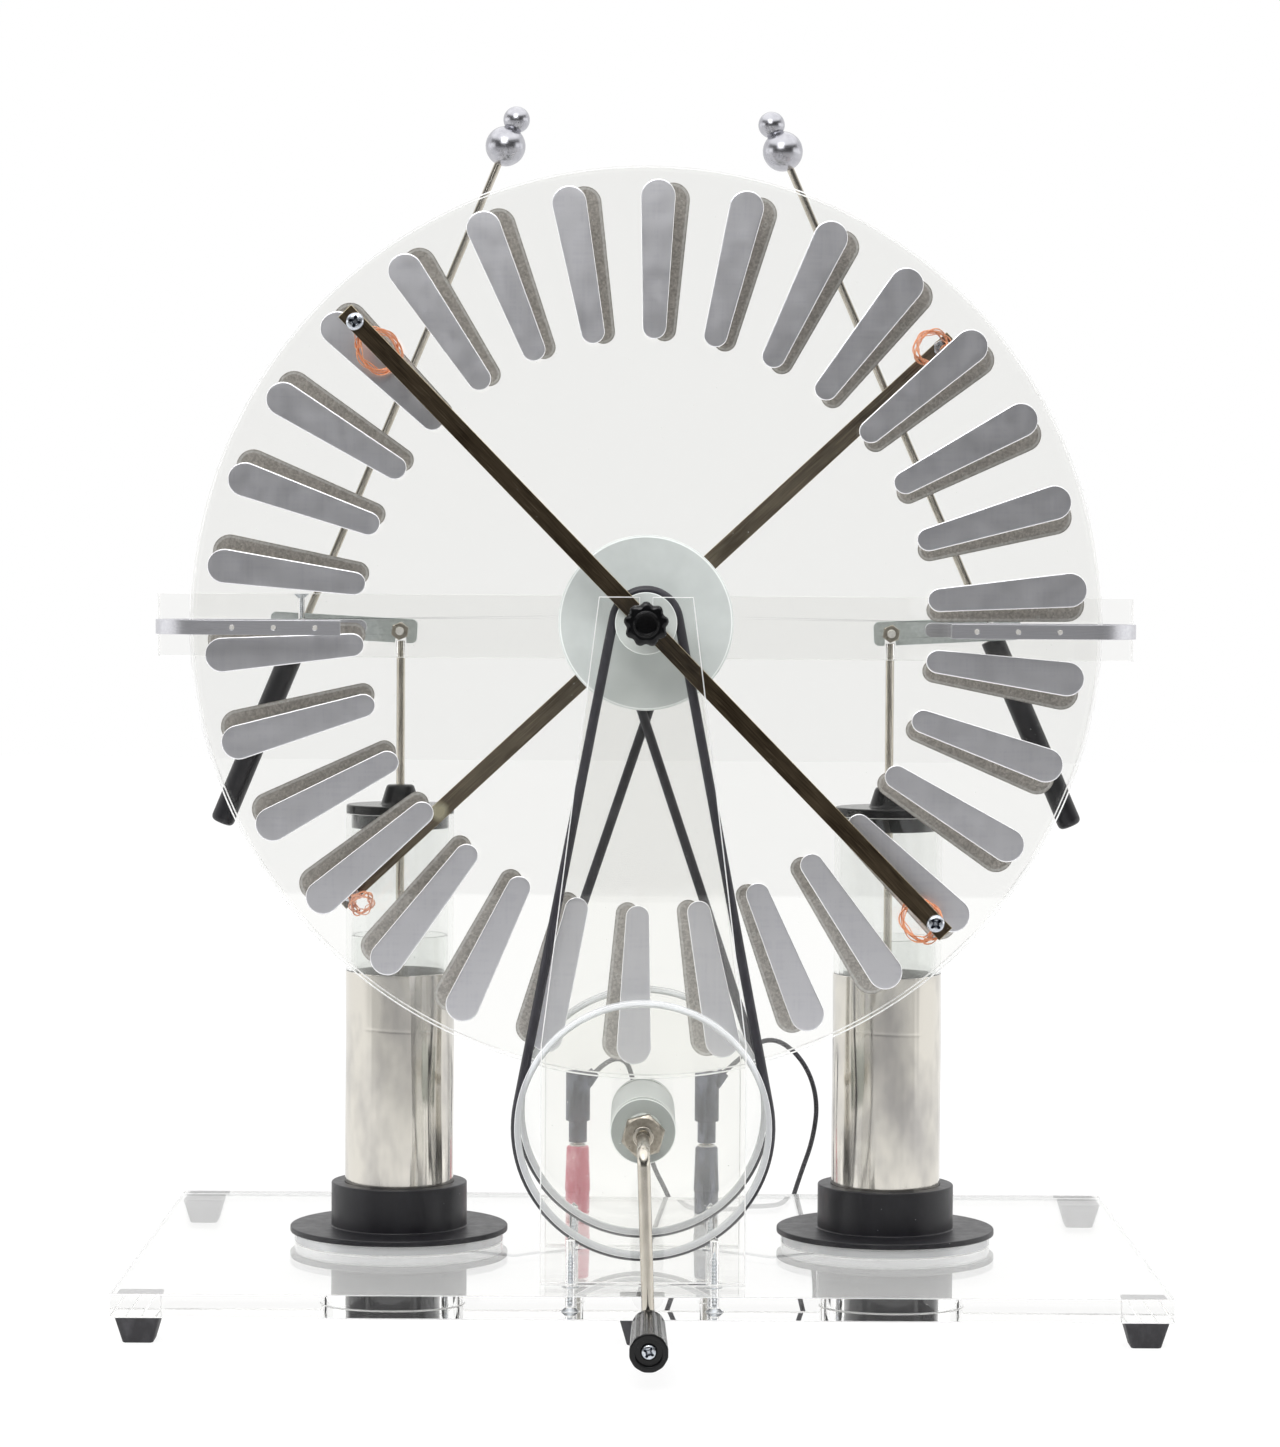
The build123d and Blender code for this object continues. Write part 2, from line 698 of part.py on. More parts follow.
for place in comb_pin_places:
    for facing in (pin, mirror(pin, about=Plane.XZ)):
        comb -= Pos(place, 0, 0) * facing
        comb_pins += both_hands(Pos(place, 0, 0) * facing, z=bar_z)
left_comb, right_comb = both_hands(comb, z=bar_z)
save("left_comb", left_comb)
save("right_comb", right_comb)
save("comb_pins", *comb_pins)
comb_screws = both_hands(comb_screw, z=bar_z)
save("fixing_screws", *front_screws, *rear_screws, *bar_screws, *clamps, *comb_screws)

# Electrodes: a rod with two balls above the pivot and an insulated handle below it

pivot_middle = (pivot_in + pivot_out) / 2
pivot = slab(Circle(pivot_radius) - Circle(stem_radius + running), pivot_in, pivot_out)
rod_up = Pos(0, pivot_middle, 0) * Cylinder(electrode_rod_radius, large_ball_reach, align=upwards)
rod_up -= slab(Circle(pivot_radius), pivot_in, pivot_out)
large_ball = Pos(0, pivot_middle, large_ball_reach) * Sphere(large_ball_radius)
small_ball = Pos(0, pivot_middle, large_ball_reach + small_ball_beyond) * Sphere(small_ball_radius)
small_ball -= large_ball
electrode_pieces = (pivot + (rod_up - large_ball), large_ball, small_ball)
handle = Pos(0, pivot_middle, -handle_end) * Cylinder(handle_radius, handle_end - handle_start, align=upwards)
handle = fillet(handle.edges().group_by(Axis.Z)[0], handle_round)
for name, x, angle in (("left", -stem_x, left_electrode_angle), ("right", stem_x, -right_electrode_angle)):
    tilt = Rot(0, angle, 0)
    save(f"{name}_electrode", *[on_side(1, tilt * piece, x, bar_z) for piece in electrode_pieces])
    save(f"{name}_handle", on_side(1, tilt * handle, x, bar_z))

# Leyden jars: clear ring, holder with a spigot down through the base, clear tube, foil outside,
# liner and foil inside, lid and rod

flange_top = jar_pad_thick + jar_flange_thick
collar_top = flange_top + jar_collar_height
foil_radius = jar_radius + foil_thick
jar_inner = jar_radius - jar_wall
insert_outer = jar_inner - insert_fit
insert_inner = insert_outer - insert_wall
insert_bottom = flange_top + jar_wall
insert_floor = insert_bottom + insert_wall
lining_inner = insert_inner - foil_thick
lid_top = jar_top + lid_thick
boss_top = lid_top + lid_boss_height
contact_top = jar_rod_end + contact_thick
rod_top = bar_bottom - base_top + jar_rod_in_bar
jar_profiles = {
    "jar_pads": [
        (jar_hole_radius, 0), (jar_pad_radius, 0), (jar_pad_radius, jar_pad_thick),
        (jar_hole_radius, jar_pad_thick),
    ],
    "jar_holders": [
        (jar_bolt_radius, -base_thick), (jar_spigot_radius, -base_thick), (jar_spigot_radius, jar_pad_thick),
        (jar_flange_radius, jar_pad_thick), (jar_flange_radius, flange_top),
        (jar_collar_radius, flange_top), (jar_collar_radius, collar_top), (foil_radius, collar_top),
        (foil_radius, flange_top), (jar_bolt_radius, flange_top),
    ],
    "jar_tubes": [
        (0, flange_top), (jar_radius, flange_top), (jar_radius, jar_top), (jar_inner, jar_top),
        (jar_inner, insert_bottom), (0, insert_bottom),
    ],
    "jar_foils": [
        (jar_radius, flange_top), (foil_radius, flange_top), (foil_radius, foil_top), (jar_radius, foil_top),
    ],
    "jar_liners": [
        (0, insert_bottom), (insert_outer, insert_bottom), (insert_outer, insert_top),
        (insert_inner, insert_top), (insert_inner, insert_floor), (0, insert_floor),
    ],
    "jar_linings": [
        (0, insert_floor), (insert_inner, insert_floor), (insert_inner, lining_top),
        (lining_inner, lining_top), (lining_inner, insert_floor + foil_thick), (0, insert_floor + foil_thick),
    ],
    "jar_lids": [
        (jar_rod_radius, jar_top - lid_plug), (jar_inner, jar_top - lid_plug), (jar_inner, jar_top),
        (jar_radius, jar_top), (jar_radius, lid_top - lid_bevel), (jar_radius - lid_bevel, lid_top),
        (lid_boss_bottom, lid_top), (lid_boss_top, boss_top), (jar_rod_radius, boss_top),
    ],
    "jar_rods": [
        (0, jar_rod_end), (lining_inner, jar_rod_end), (lining_inner, contact_top),
        (jar_rod_radius, contact_top), (jar_rod_radius, rod_top), (0, rod_top),
    ],
}
for name, profile in jar_profiles.items():
    save(name, *[Pos(x, bar_y, base_top) * turned_up(profile) for x in (-jar_x, jar_x)])

# Bonding strips under the base, from each jar's bolt to its socket

strip_line = [(jar_x, bar_y - front_y), strip_bend, strip_turn, (socket_x, socket_setback)]
strip = Sketch()
for start, end in zip(strip_line, strip_line[1:]):
    strip += capsule(start, end, strip_width / 2, strip_width / 2)
bolt_place = Pos(*strip_line[0])
socket_place = Pos(*strip_line[-1])
strip += bolt_place * Circle(jar_bolt_head) + socket_place * Circle(core_radius + strip_width / 2)
strip -= bolt_place * Circle(jar_bolt_radius) + socket_place * Circle(core_radius)
strip = Pos(0, front_y, base_under) * extrude(strip, amount=-strip_thick)
save("bonding_strips", strip, mirror(strip, about=Plane.YZ))

under_strip = base_under - strip_thick
bolt_bottom = under_strip - jar_bolt_head_thick
jar_bolt = turned_up([
    (0, bolt_bottom), (jar_bolt_head, bolt_bottom), (jar_bolt_head, under_strip),
    (jar_bolt_radius, under_strip), (jar_bolt_radius, base_top + flange_top), (0, base_top + flange_top),
])
save("jar_bolts", *[Pos(x, bar_y, 0) * jar_bolt for x in (-jar_x, jar_x)])

# Sockets: a metal core through the base, with a tapered insulating sleeve above it

sleeve = turned_up([
    (core_radius, 0), (sleeve_foot_radius, 0), (sleeve_foot_radius, sleeve_rib_height - sleeve_chamfer),
    (sleeve_rib_radius, sleeve_rib_height), (sleeve_top_radius, sleeve_height - sleeve_chamfer),
    (sleeve_top_radius - sleeve_chamfer, sleeve_height), (core_radius, sleeve_height),
])
core_top = sleeve_height + core_above
core_bottom = under_strip - core_nut_thick - base_top
core_floor = core_top - core_bore_depth
core = turned_up([
    (0, core_bottom), (core_radius, core_bottom), (core_radius, core_top), (core_bore, core_top),
    (core_bore, core_floor), (0, core_floor),
])
core_nut = extrude(hexagon(core_nut_across) - Circle(core_radius), amount=core_nut_thick)
socket_places = [Pos(x, socket_y, base_top) for x in (-socket_x, socket_x)]
socket_nuts = [place * Pos(0, 0, core_bottom) * core_nut for place in socket_places]
save("red_sleeve", socket_places[0] * sleeve)
save("black_sleeve", socket_places[1] * sleeve)
save("socket_cores", *[place * core for place in socket_places])
save("nickel_nuts", *bush_nuts, *stem_nuts, *jar_nuts, *socket_nuts)

# Stackable plugs: a pin in the socket, a grip body above and a cable exit at its side

neck_top = core_top + plug_neck_height
plug_top = neck_top + plug_height
pin_bottom = core_top - plug_pin_length
hole_floor = plug_top - plug_hole_depth
plug_body = turned_up([
    (plug_pin_radius, core_top), (plug_neck_radius, core_top), (plug_neck_radius, neck_top),
    (plug_radius, neck_top), (plug_radius, plug_top - plug_chamfer),
    (plug_radius - plug_chamfer, plug_top), (0, plug_top), (0, hole_floor), (plug_pin_radius, hole_floor),
])
exit_direction = Vector(*exit_heading).normalized()
exit_start = Vector(plug_radius - exit_radius - exit_inset, 0, neck_top + exit_height)
exit_plane = Plane(origin=exit_start, z_dir=exit_direction)
plug_body += exit_plane * Cylinder(exit_radius, exit_length, align=upwards)
plug_body -= Pos(0, 0, hole_floor) * Cylinder(plug_hole_radius, plug_hole_depth, align=upwards)
cage_bottom = core_top - plug_cage_start - plug_cage_length
cage_middle = cage_bottom + plug_cage_length / 2
pin_line = Polyline(
    (plug_pin_radius, cage_bottom), (plug_pin_radius, pin_bottom), (0, pin_bottom), (0, hole_floor),
    (plug_pin_radius, hole_floor), (plug_pin_radius, core_top - plug_cage_start),
)
pin_line += ThreePointArc(pin_line @ 1, (plug_cage_radius, cage_middle), pin_line @ 0)
plug_pin = revolve(Plane.XZ * make_face(pin_line), Axis.Z)
save("lead_plugs", *[place * plug_body for place in socket_places])
save("plug_pins", *[place * plug_pin for place in socket_places])

# Jumper lead: up out of each plug, over the back edge and across the table behind the base

exit_point = exit_start + exit_direction * exit_length
left_exit = Vector(-socket_x, socket_setback, 0) + exit_point
right_exit = Vector(socket_x, socket_setback, 0) + exit_point
table = lead_radius + lead_lift - base_top
lead_line = [
    tuple(left_exit), tuple(left_exit + exit_direction * left_lead_start),
    (-6, 188, 56.5), (-3.5, 195, 48), (0, 202.5, 31), (4, 213, 13), (9, 226, 2), (14, 235, -11),
    (22, 243, table), (34, 248, table), (47, 246, table), (56, 238, -13.5), (58, 230.5, -4),
    (61, 221.5, 8), (65, 211.5, 22), (66.5, 204, 38), (61.5, 199, 53), (50, 193.5, 64),
    tuple(right_exit + exit_direction * right_lead_start), tuple(right_exit),
]
lead_path = route(lead_line)
lead = tube(lead_path, lead_radius)
save("jumper_lead", Pos(0, front_y, base_top) * lead)

section_times_length = pi * lead_radius**2 * lead_path.length
print("belt ratio", round(belt_ratio, 4))
print("lead radii", [round(radius, 1) for radius in corner_radii(lead_line)])
print("lead length", round(lead_path.length, 1))
print("lead volume", round(lead.volume, 1), "section times length", round(section_times_length, 1))
print("base front edge", round(front_y, 3), "disc plane", round(disc_y, 3), "bar plane", round(bar_y, 3))
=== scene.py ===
import json
import math

import bpy
import bmesh
import numpy as np
from mathutils import Matrix

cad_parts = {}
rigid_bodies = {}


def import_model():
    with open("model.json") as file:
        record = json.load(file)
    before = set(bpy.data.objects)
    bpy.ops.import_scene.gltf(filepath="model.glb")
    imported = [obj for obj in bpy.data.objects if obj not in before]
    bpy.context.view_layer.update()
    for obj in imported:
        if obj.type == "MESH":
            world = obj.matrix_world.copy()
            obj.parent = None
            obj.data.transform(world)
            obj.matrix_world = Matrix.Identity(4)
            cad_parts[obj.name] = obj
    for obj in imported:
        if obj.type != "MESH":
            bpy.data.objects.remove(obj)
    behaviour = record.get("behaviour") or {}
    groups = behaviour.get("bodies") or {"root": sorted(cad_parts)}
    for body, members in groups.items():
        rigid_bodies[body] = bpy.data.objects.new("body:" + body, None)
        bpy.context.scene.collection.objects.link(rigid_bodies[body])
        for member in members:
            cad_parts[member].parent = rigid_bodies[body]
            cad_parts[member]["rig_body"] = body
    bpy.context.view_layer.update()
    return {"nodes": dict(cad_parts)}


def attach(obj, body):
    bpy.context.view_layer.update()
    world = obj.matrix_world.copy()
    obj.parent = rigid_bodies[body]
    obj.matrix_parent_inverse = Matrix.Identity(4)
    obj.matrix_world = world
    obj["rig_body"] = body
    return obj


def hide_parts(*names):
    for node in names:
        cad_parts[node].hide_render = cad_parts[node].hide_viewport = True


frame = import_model()
nodes = frame["nodes"]
scene = bpy.context.scene
mm = 0.001
full_turn = 2 * math.pi

# Places of the machine in millimetres, as the solids have them
base_top = 17
base_under = 9
base_front = -74
disc_plane = -13.5
disc_radius = 155
disc_bore = 20
disc_near, disc_far = 3.75, 6.75
bar_plane = 36.6
bar_back_y = 41.6
bar_z = 235
axle_z = 237.3
crank_z = 67.5
crank_reach = 55.2
crank_angle = math.radians(2)
jar_x = 86.3
stem_x = 121.3
socket_x, socket_y = 23.8, 108
front_face_y = -54
rear_face_y = 31.6
front_slant, rear_slant = -45.7, 43
brush_reach = 139.5


# Camera, at the photograph's angle: a long lens a little above the axle, looking slightly down

camera = bpy.data.objects.new("camera", bpy.data.cameras.new("camera"))
scene.collection.objects.link(camera)
scene.camera = camera
image_height = 1447
focal_pixels = 4030
camera.data.sensor_width = 36
camera.data.lens = focal_pixels / image_height * camera.data.sensor_width
camera.data.clip_start = 0.05
camera_place = (-0.0032, -1.3875, 0.2553)
yaw, pitch, roll = 0.0010, 0.0382, 0.0059
forward = np.array([math.sin(yaw) * math.cos(pitch), math.cos(yaw) * math.cos(pitch), -math.sin(pitch)])
level_right = np.array([math.cos(yaw), -math.sin(yaw), 0])
level_up = np.cross(level_right, forward)
right = level_right * math.cos(roll) + level_up * math.sin(roll)
up = level_up * math.cos(roll) - level_right * math.sin(roll)
pose = np.eye(4)
pose[:3] = np.column_stack([right, up, -forward, camera_place])
camera.matrix_world = Matrix(pose.tolist())


# Tools for materials

def linear(hex_colour):
    """An sRGB hex colour as linear red, green, blue and alpha."""
    levels = [int(hex_colour[i:i + 2], 16) / 255 for i in (1, 3, 5)]
    return [v / 12.92 if v <= 0.04045 else ((v + 0.055) / 1.055) ** 2.4 for v in levels] + [1]


def feed(tree, node, inputs):
    """Give a node's inputs plain values, or link them to a socket or to the first output of a node."""
    for place, value in inputs.items():
        if isinstance(value, bpy.types.Node):
            value = value.outputs[0]
        if isinstance(value, bpy.types.NodeSocket):
            tree.links.new(value, node.inputs[place])
        else:
            node.inputs[place].default_value = value


def add(tree, kind, *values, inputs=None, **options):
    """Add a node with its options. The values go to its inputs in their order, the rest of them by name."""
    node = tree.nodes.new(kind)
    for name, value in options.items():
        setattr(node, name, value)
    feed(tree, node, dict(enumerate(values)))
    feed(tree, node, inputs or {})
    return node


def new_finish(name, settings):
    """A material with one Principled shader: gives it, its tree, the shader and Object coordinates."""
    material = bpy.data.materials.new(name)
    material.use_nodes = True
    tree = material.node_tree
    tree.nodes.clear()
    shader = add(tree, "ShaderNodeBsdfPrincipled", inputs=settings)
    add(tree, "ShaderNodeOutputMaterial", shader)
    place = add(tree, "ShaderNodeTexCoord").outputs["Object"]
    return material, tree, shader, place


def dress(tree, shader, colour, roughness, height=None, depth=0.0):
    """Give a shader its colour and roughness, and raise its surface by height, depth mm for a full step."""
    feed(tree, shader, {"Base Color": colour, "Roughness": roughness})
    if height is not None:
        relief = add(tree, "ShaderNodeBump", inputs={"Strength": 1, "Distance": depth * mm, "Height": height})
        feed(tree, shader, {"Normal": relief})


def take_over(tree, fac, shader, other):
    """Let another shader take the place of the first where fac is 1."""
    either = add(tree, "ShaderNodeMixShader", fac, shader, other)
    output = next(node for node in tree.nodes if node.type == "OUTPUT_MATERIAL")
    feed(tree, output, {"Surface": either})


def blend_colours(tree, fac, low, high, first, second):
    """A colour that goes from the first to the second as fac goes from low to high."""
    share = add(tree, "ShaderNodeMapRange", fac, low, high, 0, 1)
    return add(tree, "ShaderNodeMixRGB", share, linear(first), linear(second))


def grain(tree, place, size, stretch=(1, 1, 1), detail=3, rough=0.5):
    """Noise whose patches are about size millimetres across, drawn out along the axes by stretch."""
    scaled = add(tree, "ShaderNodeMapping", place, inputs={"Scale": [1 / s for s in stretch]})
    return add(tree, "ShaderNodeTexNoise", scaled,
               inputs={"Scale": 1000 / size, "Detail": detail, "Roughness": rough})


def specks(tree, place, spacing, size, strength=1.0):
    """Specks of dust: strength in spots of about size millimetres, spacing millimetres apart, else 0."""
    cells = add(tree, "ShaderNodeTexVoronoi", place, inputs={"Scale": 1000 / spacing})
    spot = add(tree, "ShaderNodeMapRange", cells, 0.3 * size / spacing, 0.6 * size / spacing, strength, 0)
    chance = add(tree, "ShaderNodeSeparateColor", cells.outputs["Color"])
    chosen = add(tree, "ShaderNodeMapRange", chance, 0.55, 0.6, 0, 1)
    return add(tree, "ShaderNodeMath", spot, chosen, operation="MULTIPLY")


def clear_plastic(name, tint, rough=0.0, clear=1.0):
    """Polished clear plastic with specks of dust; the part that isn't clear is milky. Lamps and soft light go
    straight through it, so that nothing behind it goes dark."""
    colour = linear(tint)
    material, tree, shader, place = new_finish(name, {"Transmission Weight": clear, "IOR": 1.49})
    dust = specks(tree, place, 6, 0.5)
    dress(tree, shader, colour, add(tree, "ShaderNodeMapRange", dust, 0, 1, rough, rough + 0.35))
    path = add(tree, "ShaderNodeLightPath").outputs
    soft = add(tree, "ShaderNodeMath", path["Is Shadow Ray"], path["Is Diffuse Ray"], operation="MAXIMUM")
    take_over(tree, soft, shader, add(tree, "ShaderNodeBsdfTransparent", colour))
    return material


def sector_foil(name):
    """Satin rolled aluminium foil: faint lines cross it both ways, 1 mm apart, drawn coarser than the real
    ones so that they show, and soft clouds where it has been rubbed down."""
    material, tree, shader, place = new_finish(name, {"Metallic": 1})
    lines = grain(tree, place, 1, (14, 1, 1), detail=1)
    across = grain(tree, place, 1, (1, 1, 14), detail=1)
    both = add(tree, "ShaderNodeMath", lines, across, operation="ADD")
    clouds = grain(tree, place, 7, detail=2)
    colour = blend_colours(tree, both, 0.7, 1, "#ECECF1", "#F1F1F5")
    roughness = add(tree, "ShaderNodeMapRange", clouds, 0.3, 0.7, 0.3, 0.35)
    dress(tree, shader, colour, roughness, both, 0.0015)
    return material


def foil_back(name, dark, light):
    """The glued side of the foil, seen through the disc: mottled where the glue wets it, in patches of about
    0.8 mm, with small pale rings of trapped air, 7 mm apart."""
    material, tree, shader, place = new_finish(name, {"Metallic": 1})
    mottle = grain(tree, place, 0.8, detail=5, rough=0.7)
    cells = add(tree, "ShaderNodeTexVoronoi", place, inputs={"Scale": 1000 / 7})
    off_ring = add(tree, "ShaderNodeMath", cells, 0.13, operation="SUBTRACT")
    off_ring = add(tree, "ShaderNodeMath", off_ring, operation="ABSOLUTE")
    ring = add(tree, "ShaderNodeMapRange", off_ring, 0.01, 0.03, 0.5, 0)
    base = blend_colours(tree, mottle, 0.36, 0.64, dark, light)
    colour = add(tree, "ShaderNodeMixRGB", ring, base, linear("#EDEDEA"))
    roughness = add(tree, "ShaderNodeMapRange", mottle, 0.3, 0.7, 0.42, 0.3)
    dress(tree, shader, colour, roughness, mottle, 0.02)
    return material


def jar_foil(name):
    """Bright tin foil wound round a jar: nearly a mirror, with milky stains where fingers have been."""
    material, tree, shader, place = new_finish(name, {"Metallic": 1})
    stain = grain(tree, place, 20, (1, 1, 2), detail=3, rough=0.6)
    fine = grain(tree, place, 0.7, (1, 1, 8), detail=3)
    cloudy = add(tree, "ShaderNodeMapRange", stain, 0.45, 0.66, 0.1, 0.18)
    drawn = add(tree, "ShaderNodeMapRange", fine, 0.3, 0.7, 0, 0.05)
    waves = grain(tree, place, 9, (1, 1, 6), detail=2)
    colour = blend_colours(tree, stain, 0.42, 0.66, "#DDD9D0", "#BAB7B3")
    roughness = add(tree, "ShaderNodeMath", cloudy, drawn, operation="ADD")
    dress(tree, shader, colour, roughness, waves, 0.1)
    return material


def metal(name, colour, other, roughness, size=1.5, stretch=(1, 1, 1), rise=0.05, recess_shade=None):
    """A metal whose colour wanders a little and whose roughness changes where it is rubbed. The colour given
    for its recesses is painted shade, laid by ambient occlusion within 1.2 mm of another face."""
    material, tree, shader, place = new_finish(name, {"Metallic": 1})
    rubbed = grain(tree, place, size, stretch, detail=4)
    base = blend_colours(tree, rubbed, 0.35, 0.65, colour, other)
    if recess_shade:
        # Painted shade: darker where ambient occlusion finds another face within 1.2 mm
        open_air = add(tree, "ShaderNodeAmbientOcclusion", inputs={"Distance": 1.2 * mm}).outputs["AO"]
        recess_shadow_share = add(tree, "ShaderNodeMapRange", open_air, 0.45, 0.85, 1, 0)
        base = add(tree, "ShaderNodeMixRGB", recess_shadow_share, base, linear(recess_shade))
    dress(tree, shader, base, add(tree, "ShaderNodeMapRange", rubbed, 0.3, 0.7, roughness, roughness + rise))
    return material


def bronzed(name, slant, dark, light, patch=None):
    """Chemically darkened brass strip: dark brown, dusty, with fine streaks and pale scratches along it,
    drawn 0.35 mm and 0.22 mm wide so that they show, and a cream patch, centred on patch, that missed the
    bath."""
    material, tree, shader, place = new_finish(name, {"Metallic": 1})
    along = add(tree, "ShaderNodeMapping", place, inputs={"Rotation": (0, math.radians(slant), 0)})
    streaks = grain(tree, along, 0.35, (40, 1, 1), detail=4, rough=0.6)
    clouds = grain(tree, along, 6, (3, 1, 1), detail=2)
    fine_part = add(tree, "ShaderNodeMath", streaks, 0.6, operation="MULTIPLY")
    broad_part = add(tree, "ShaderNodeMath", clouds, 0.4, operation="MULTIPLY")
    mixed = add(tree, "ShaderNodeMath", fine_part, broad_part, operation="ADD")
    base = blend_colours(tree, mixed, 0.38, 0.66, dark, light)
    scratch = grain(tree, along, 0.22, (40, 1, 1), detail=1)
    scratched = add(tree, "ShaderNodeMapRange", scratch, 0.66, 0.72, 0, 0.35)
    base = add(tree, "ShaderNodeMixRGB", scratched, base, linear("#B5A78E"))
    base = add(tree, "ShaderNodeMixRGB", specks(tree, place, 3, 0.35, 0.8), base, linear("#D8D3C8"))
    if patch:
        middle = (patch[0] * mm, 0, patch[1] * mm)
        way = add(tree, "ShaderNodeVectorMath", place, middle, operation="SUBTRACT")
        flat = add(tree, "ShaderNodeVectorMath", way, (1, 0, 1), operation="MULTIPLY")
        far = add(tree, "ShaderNodeVectorMath", flat, operation="LENGTH").outputs["Value"]
        ragged = add(tree, "ShaderNodeMapRange", clouds, 0.3, 0.7, 0, 2.5 * mm)
        far = add(tree, "ShaderNodeMath", far, ragged, operation="ADD")
        near = add(tree, "ShaderNodeMapRange", far, 3.6 * mm, 5.6 * mm, 1, 0)
        base = add(tree, "ShaderNodeMixRGB", near, base, linear("#D5CFB4"))
    dress(tree, shader, base, add(tree, "ShaderNodeMapRange", mixed, 0.3, 0.7, 0.42, 0.3))
    return material


def hub_plastic(name, light, lighter):
    """Pale grey green plastic, turned, with the lathe's fine rings, 0.7 mm apart, and a soft skin."""
    material, tree, shader, place = new_finish(name, {"IOR": 1.5})
    cloud = grain(tree, place, 9, detail=3)
    skin = grain(tree, place, 0.8)
    rings = grain(tree, place, 0.7)
    colour = blend_colours(tree, cloud, 0.3, 0.7, light, lighter)
    dress(tree, shader, colour, add(tree, "ShaderNodeMapRange", skin, 0.3, 0.7, 0.36, 0.46), rings, 0.01)
    return material


def dark_plastic(name, colour, worn, roughness, size=0.5, depth=0.015, dusty=4.0, wear=0.14, ior=1.5):
    """A moulded plastic or rubber with a fine skin whose grains are size mm wide and depth mm high, light
    scuffs that make it rougher by wear, and specks of dust that are dusty mm apart."""
    material, tree, shader, place = new_finish(name, {"IOR": ior})
    skin = grain(tree, place, size, detail=2)
    scuff = grain(tree, place, 5, (1, 1, 2.5), detail=5, rough=0.7)
    base = blend_colours(tree, scuff, 0.45, 0.75, colour, worn)
    base = add(tree, "ShaderNodeMixRGB", specks(tree, place, dusty, 0.3, 0.6), base, linear("#B9B9BC"))
    rubbed = add(tree, "ShaderNodeMapRange", scuff, 0.3, 0.7, roughness, roughness + wear)
    dress(tree, shader, base, rubbed, skin, depth)
    return material


# Finishes

# Cast acrylic sheet: water clear, with a few specks of dust
cast_acrylic = clear_plastic("cast_acrylic", "#FEFEFD")

# Broken edges of the acrylic sheet: a white line where the saw and the scraper left it frosted
frosted_edge = clear_plastic("frosted_acrylic_edge", "#FFFFFF", 0.45, 0.5)

# Turned groove of the drive pulleys: the tool left it matt, a pale veil over the belt
turned_groove = clear_plastic("turned_acrylic_groove", "#F4F6FB", 0.1, 0.5)

# Rings under the jars, whose sawn and polished rims are a little milky
milky_ring = clear_plastic("milky_acrylic_ring", "#F2F3F5", 0.12, 0.6)

# Extruded acrylic tube of the jars, a little greyer in its thickness
acrylic_tube = clear_plastic("acrylic_tube", "#F8F9F8")

# Chrome plate over turned steel: the balls, a neutral mirror that handling has softened
chrome_plate = metal("chrome_plate", "#BEBEC3", "#B2B2B8", 0.24, 2.5, rise=0.04)

# Nickel plate over drawn brass: warm and bright, faintly drawn lengthwise
nickel_plate = metal("nickel_plate", "#D3CDC2", "#C4BEB2", 0.18, 2.5, (1, 3, 3), 0.04)

# Nickel plate on the nuts, duller from the barrel
satin_nickel = metal("barrel_nickel_plate", "#BDB6A9", "#A29B8F", 0.26, 1.2, rise=0.1)

# Nickel plate on the cut ends, made lighter and rougher than the rest as a painted highlight, so that ends
# facing the dark room still look lit
lit_nickel_ends = metal("nickel_ends_painted_highlight", "#F4F2EE", "#E2DFD9", 0.5, 1.2, rise=0.1)

# Zinc plate, passivated: greenish grey with a soft sheen
zinc_plate = metal("zinc_plate", "#DDE3E3", "#CBD2D2", 0.42, 1.2, rise=0.08)

# Aluminium strip of the combs: satin, brushed lengthwise
satin_strip = metal("satin_aluminium_strip", "#D6D6DA", "#C9C9CE", 0.34, 0.5, (16, 1, 1), 0.08)

# Bright zinc plate on the screws through the acrylic, which glitter in it
bright_zinc = metal("bright_zinc_plate", "#EEF0F4", "#D6DCE4", 0.3, 0.8, rise=0.08)

# Blue passivated screws, with painted shade in their recesses
blue_zinc = metal("blue_passivated_zinc", "#E0E3E8", "#C3CAD4", 0.2, 0.8, rise=0.08, recess_shade="#232C3C")

# Tinned copper strip under the base: pale and dull
tinned_strip = metal("tinned_copper_strip", "#D5D6D8", "#C6C7C9", 0.42, 1.5)

# Copper wire, new and bright
copper_wire = metal("bare_copper_wire", "#F6B894", "#E39A70", 0.34, 0.5, rise=0.08)

# Darkened brass bars, one for each slant, and their bright filed edges
front_bronze = bronzed("darkened_brass_front", front_slant, "#352C22", "#6D604E")
rear_bronze = bronzed("darkened_brass_rear", rear_slant, "#5A5145", "#978B79", patch=(-71.5, 170.6))
filed_brass = metal("filed_brass_edge", "#CFC3A6", "#A99B7E", 0.32, 0.6)

# Turned plastic of the hubs: pale grey green and soft; the collars are made darker as painted shade, and the
# broken edges near white as a painted highlight
turned_plastic = hub_plastic("turned_grey_plastic", "#B5BAB8", "#BFC4C2")
shaded_collar_plastic = hub_plastic("collar_plastic_painted_shade", "#8C918E", "#979C99")
# Painted highlight: the broken edges of the hubs, drive hub and collars are made near white for the light
# their rims catch
plastic_edge_highlight = hub_plastic("turned_plastic_painted_edge_highlight", "#DADEDC", "#E3E7E5")

# Painted highlight: a thin white line round the rim of each sector, for the light its rounded edge catches
sector_rim_highlight = hub_plastic("painted_highlight_sector_rim", "#F2F2F3", "#FAFAFB")

# Round rubber belt cord: charcoal, softly shining, dusted
belt_rubber = dark_plastic("belt_rubber", "#26252B", "#38373E", 0.36, dusty=2.5)

# Black moulded plastic of the knobs, grip and lids: nearly black and glossy
black_plastic = dark_plastic("black_moulded_plastic", "#050506", "#0B0B0D", 0.17, 0.5, 0.001, 6.0, 0.03, 1.4)

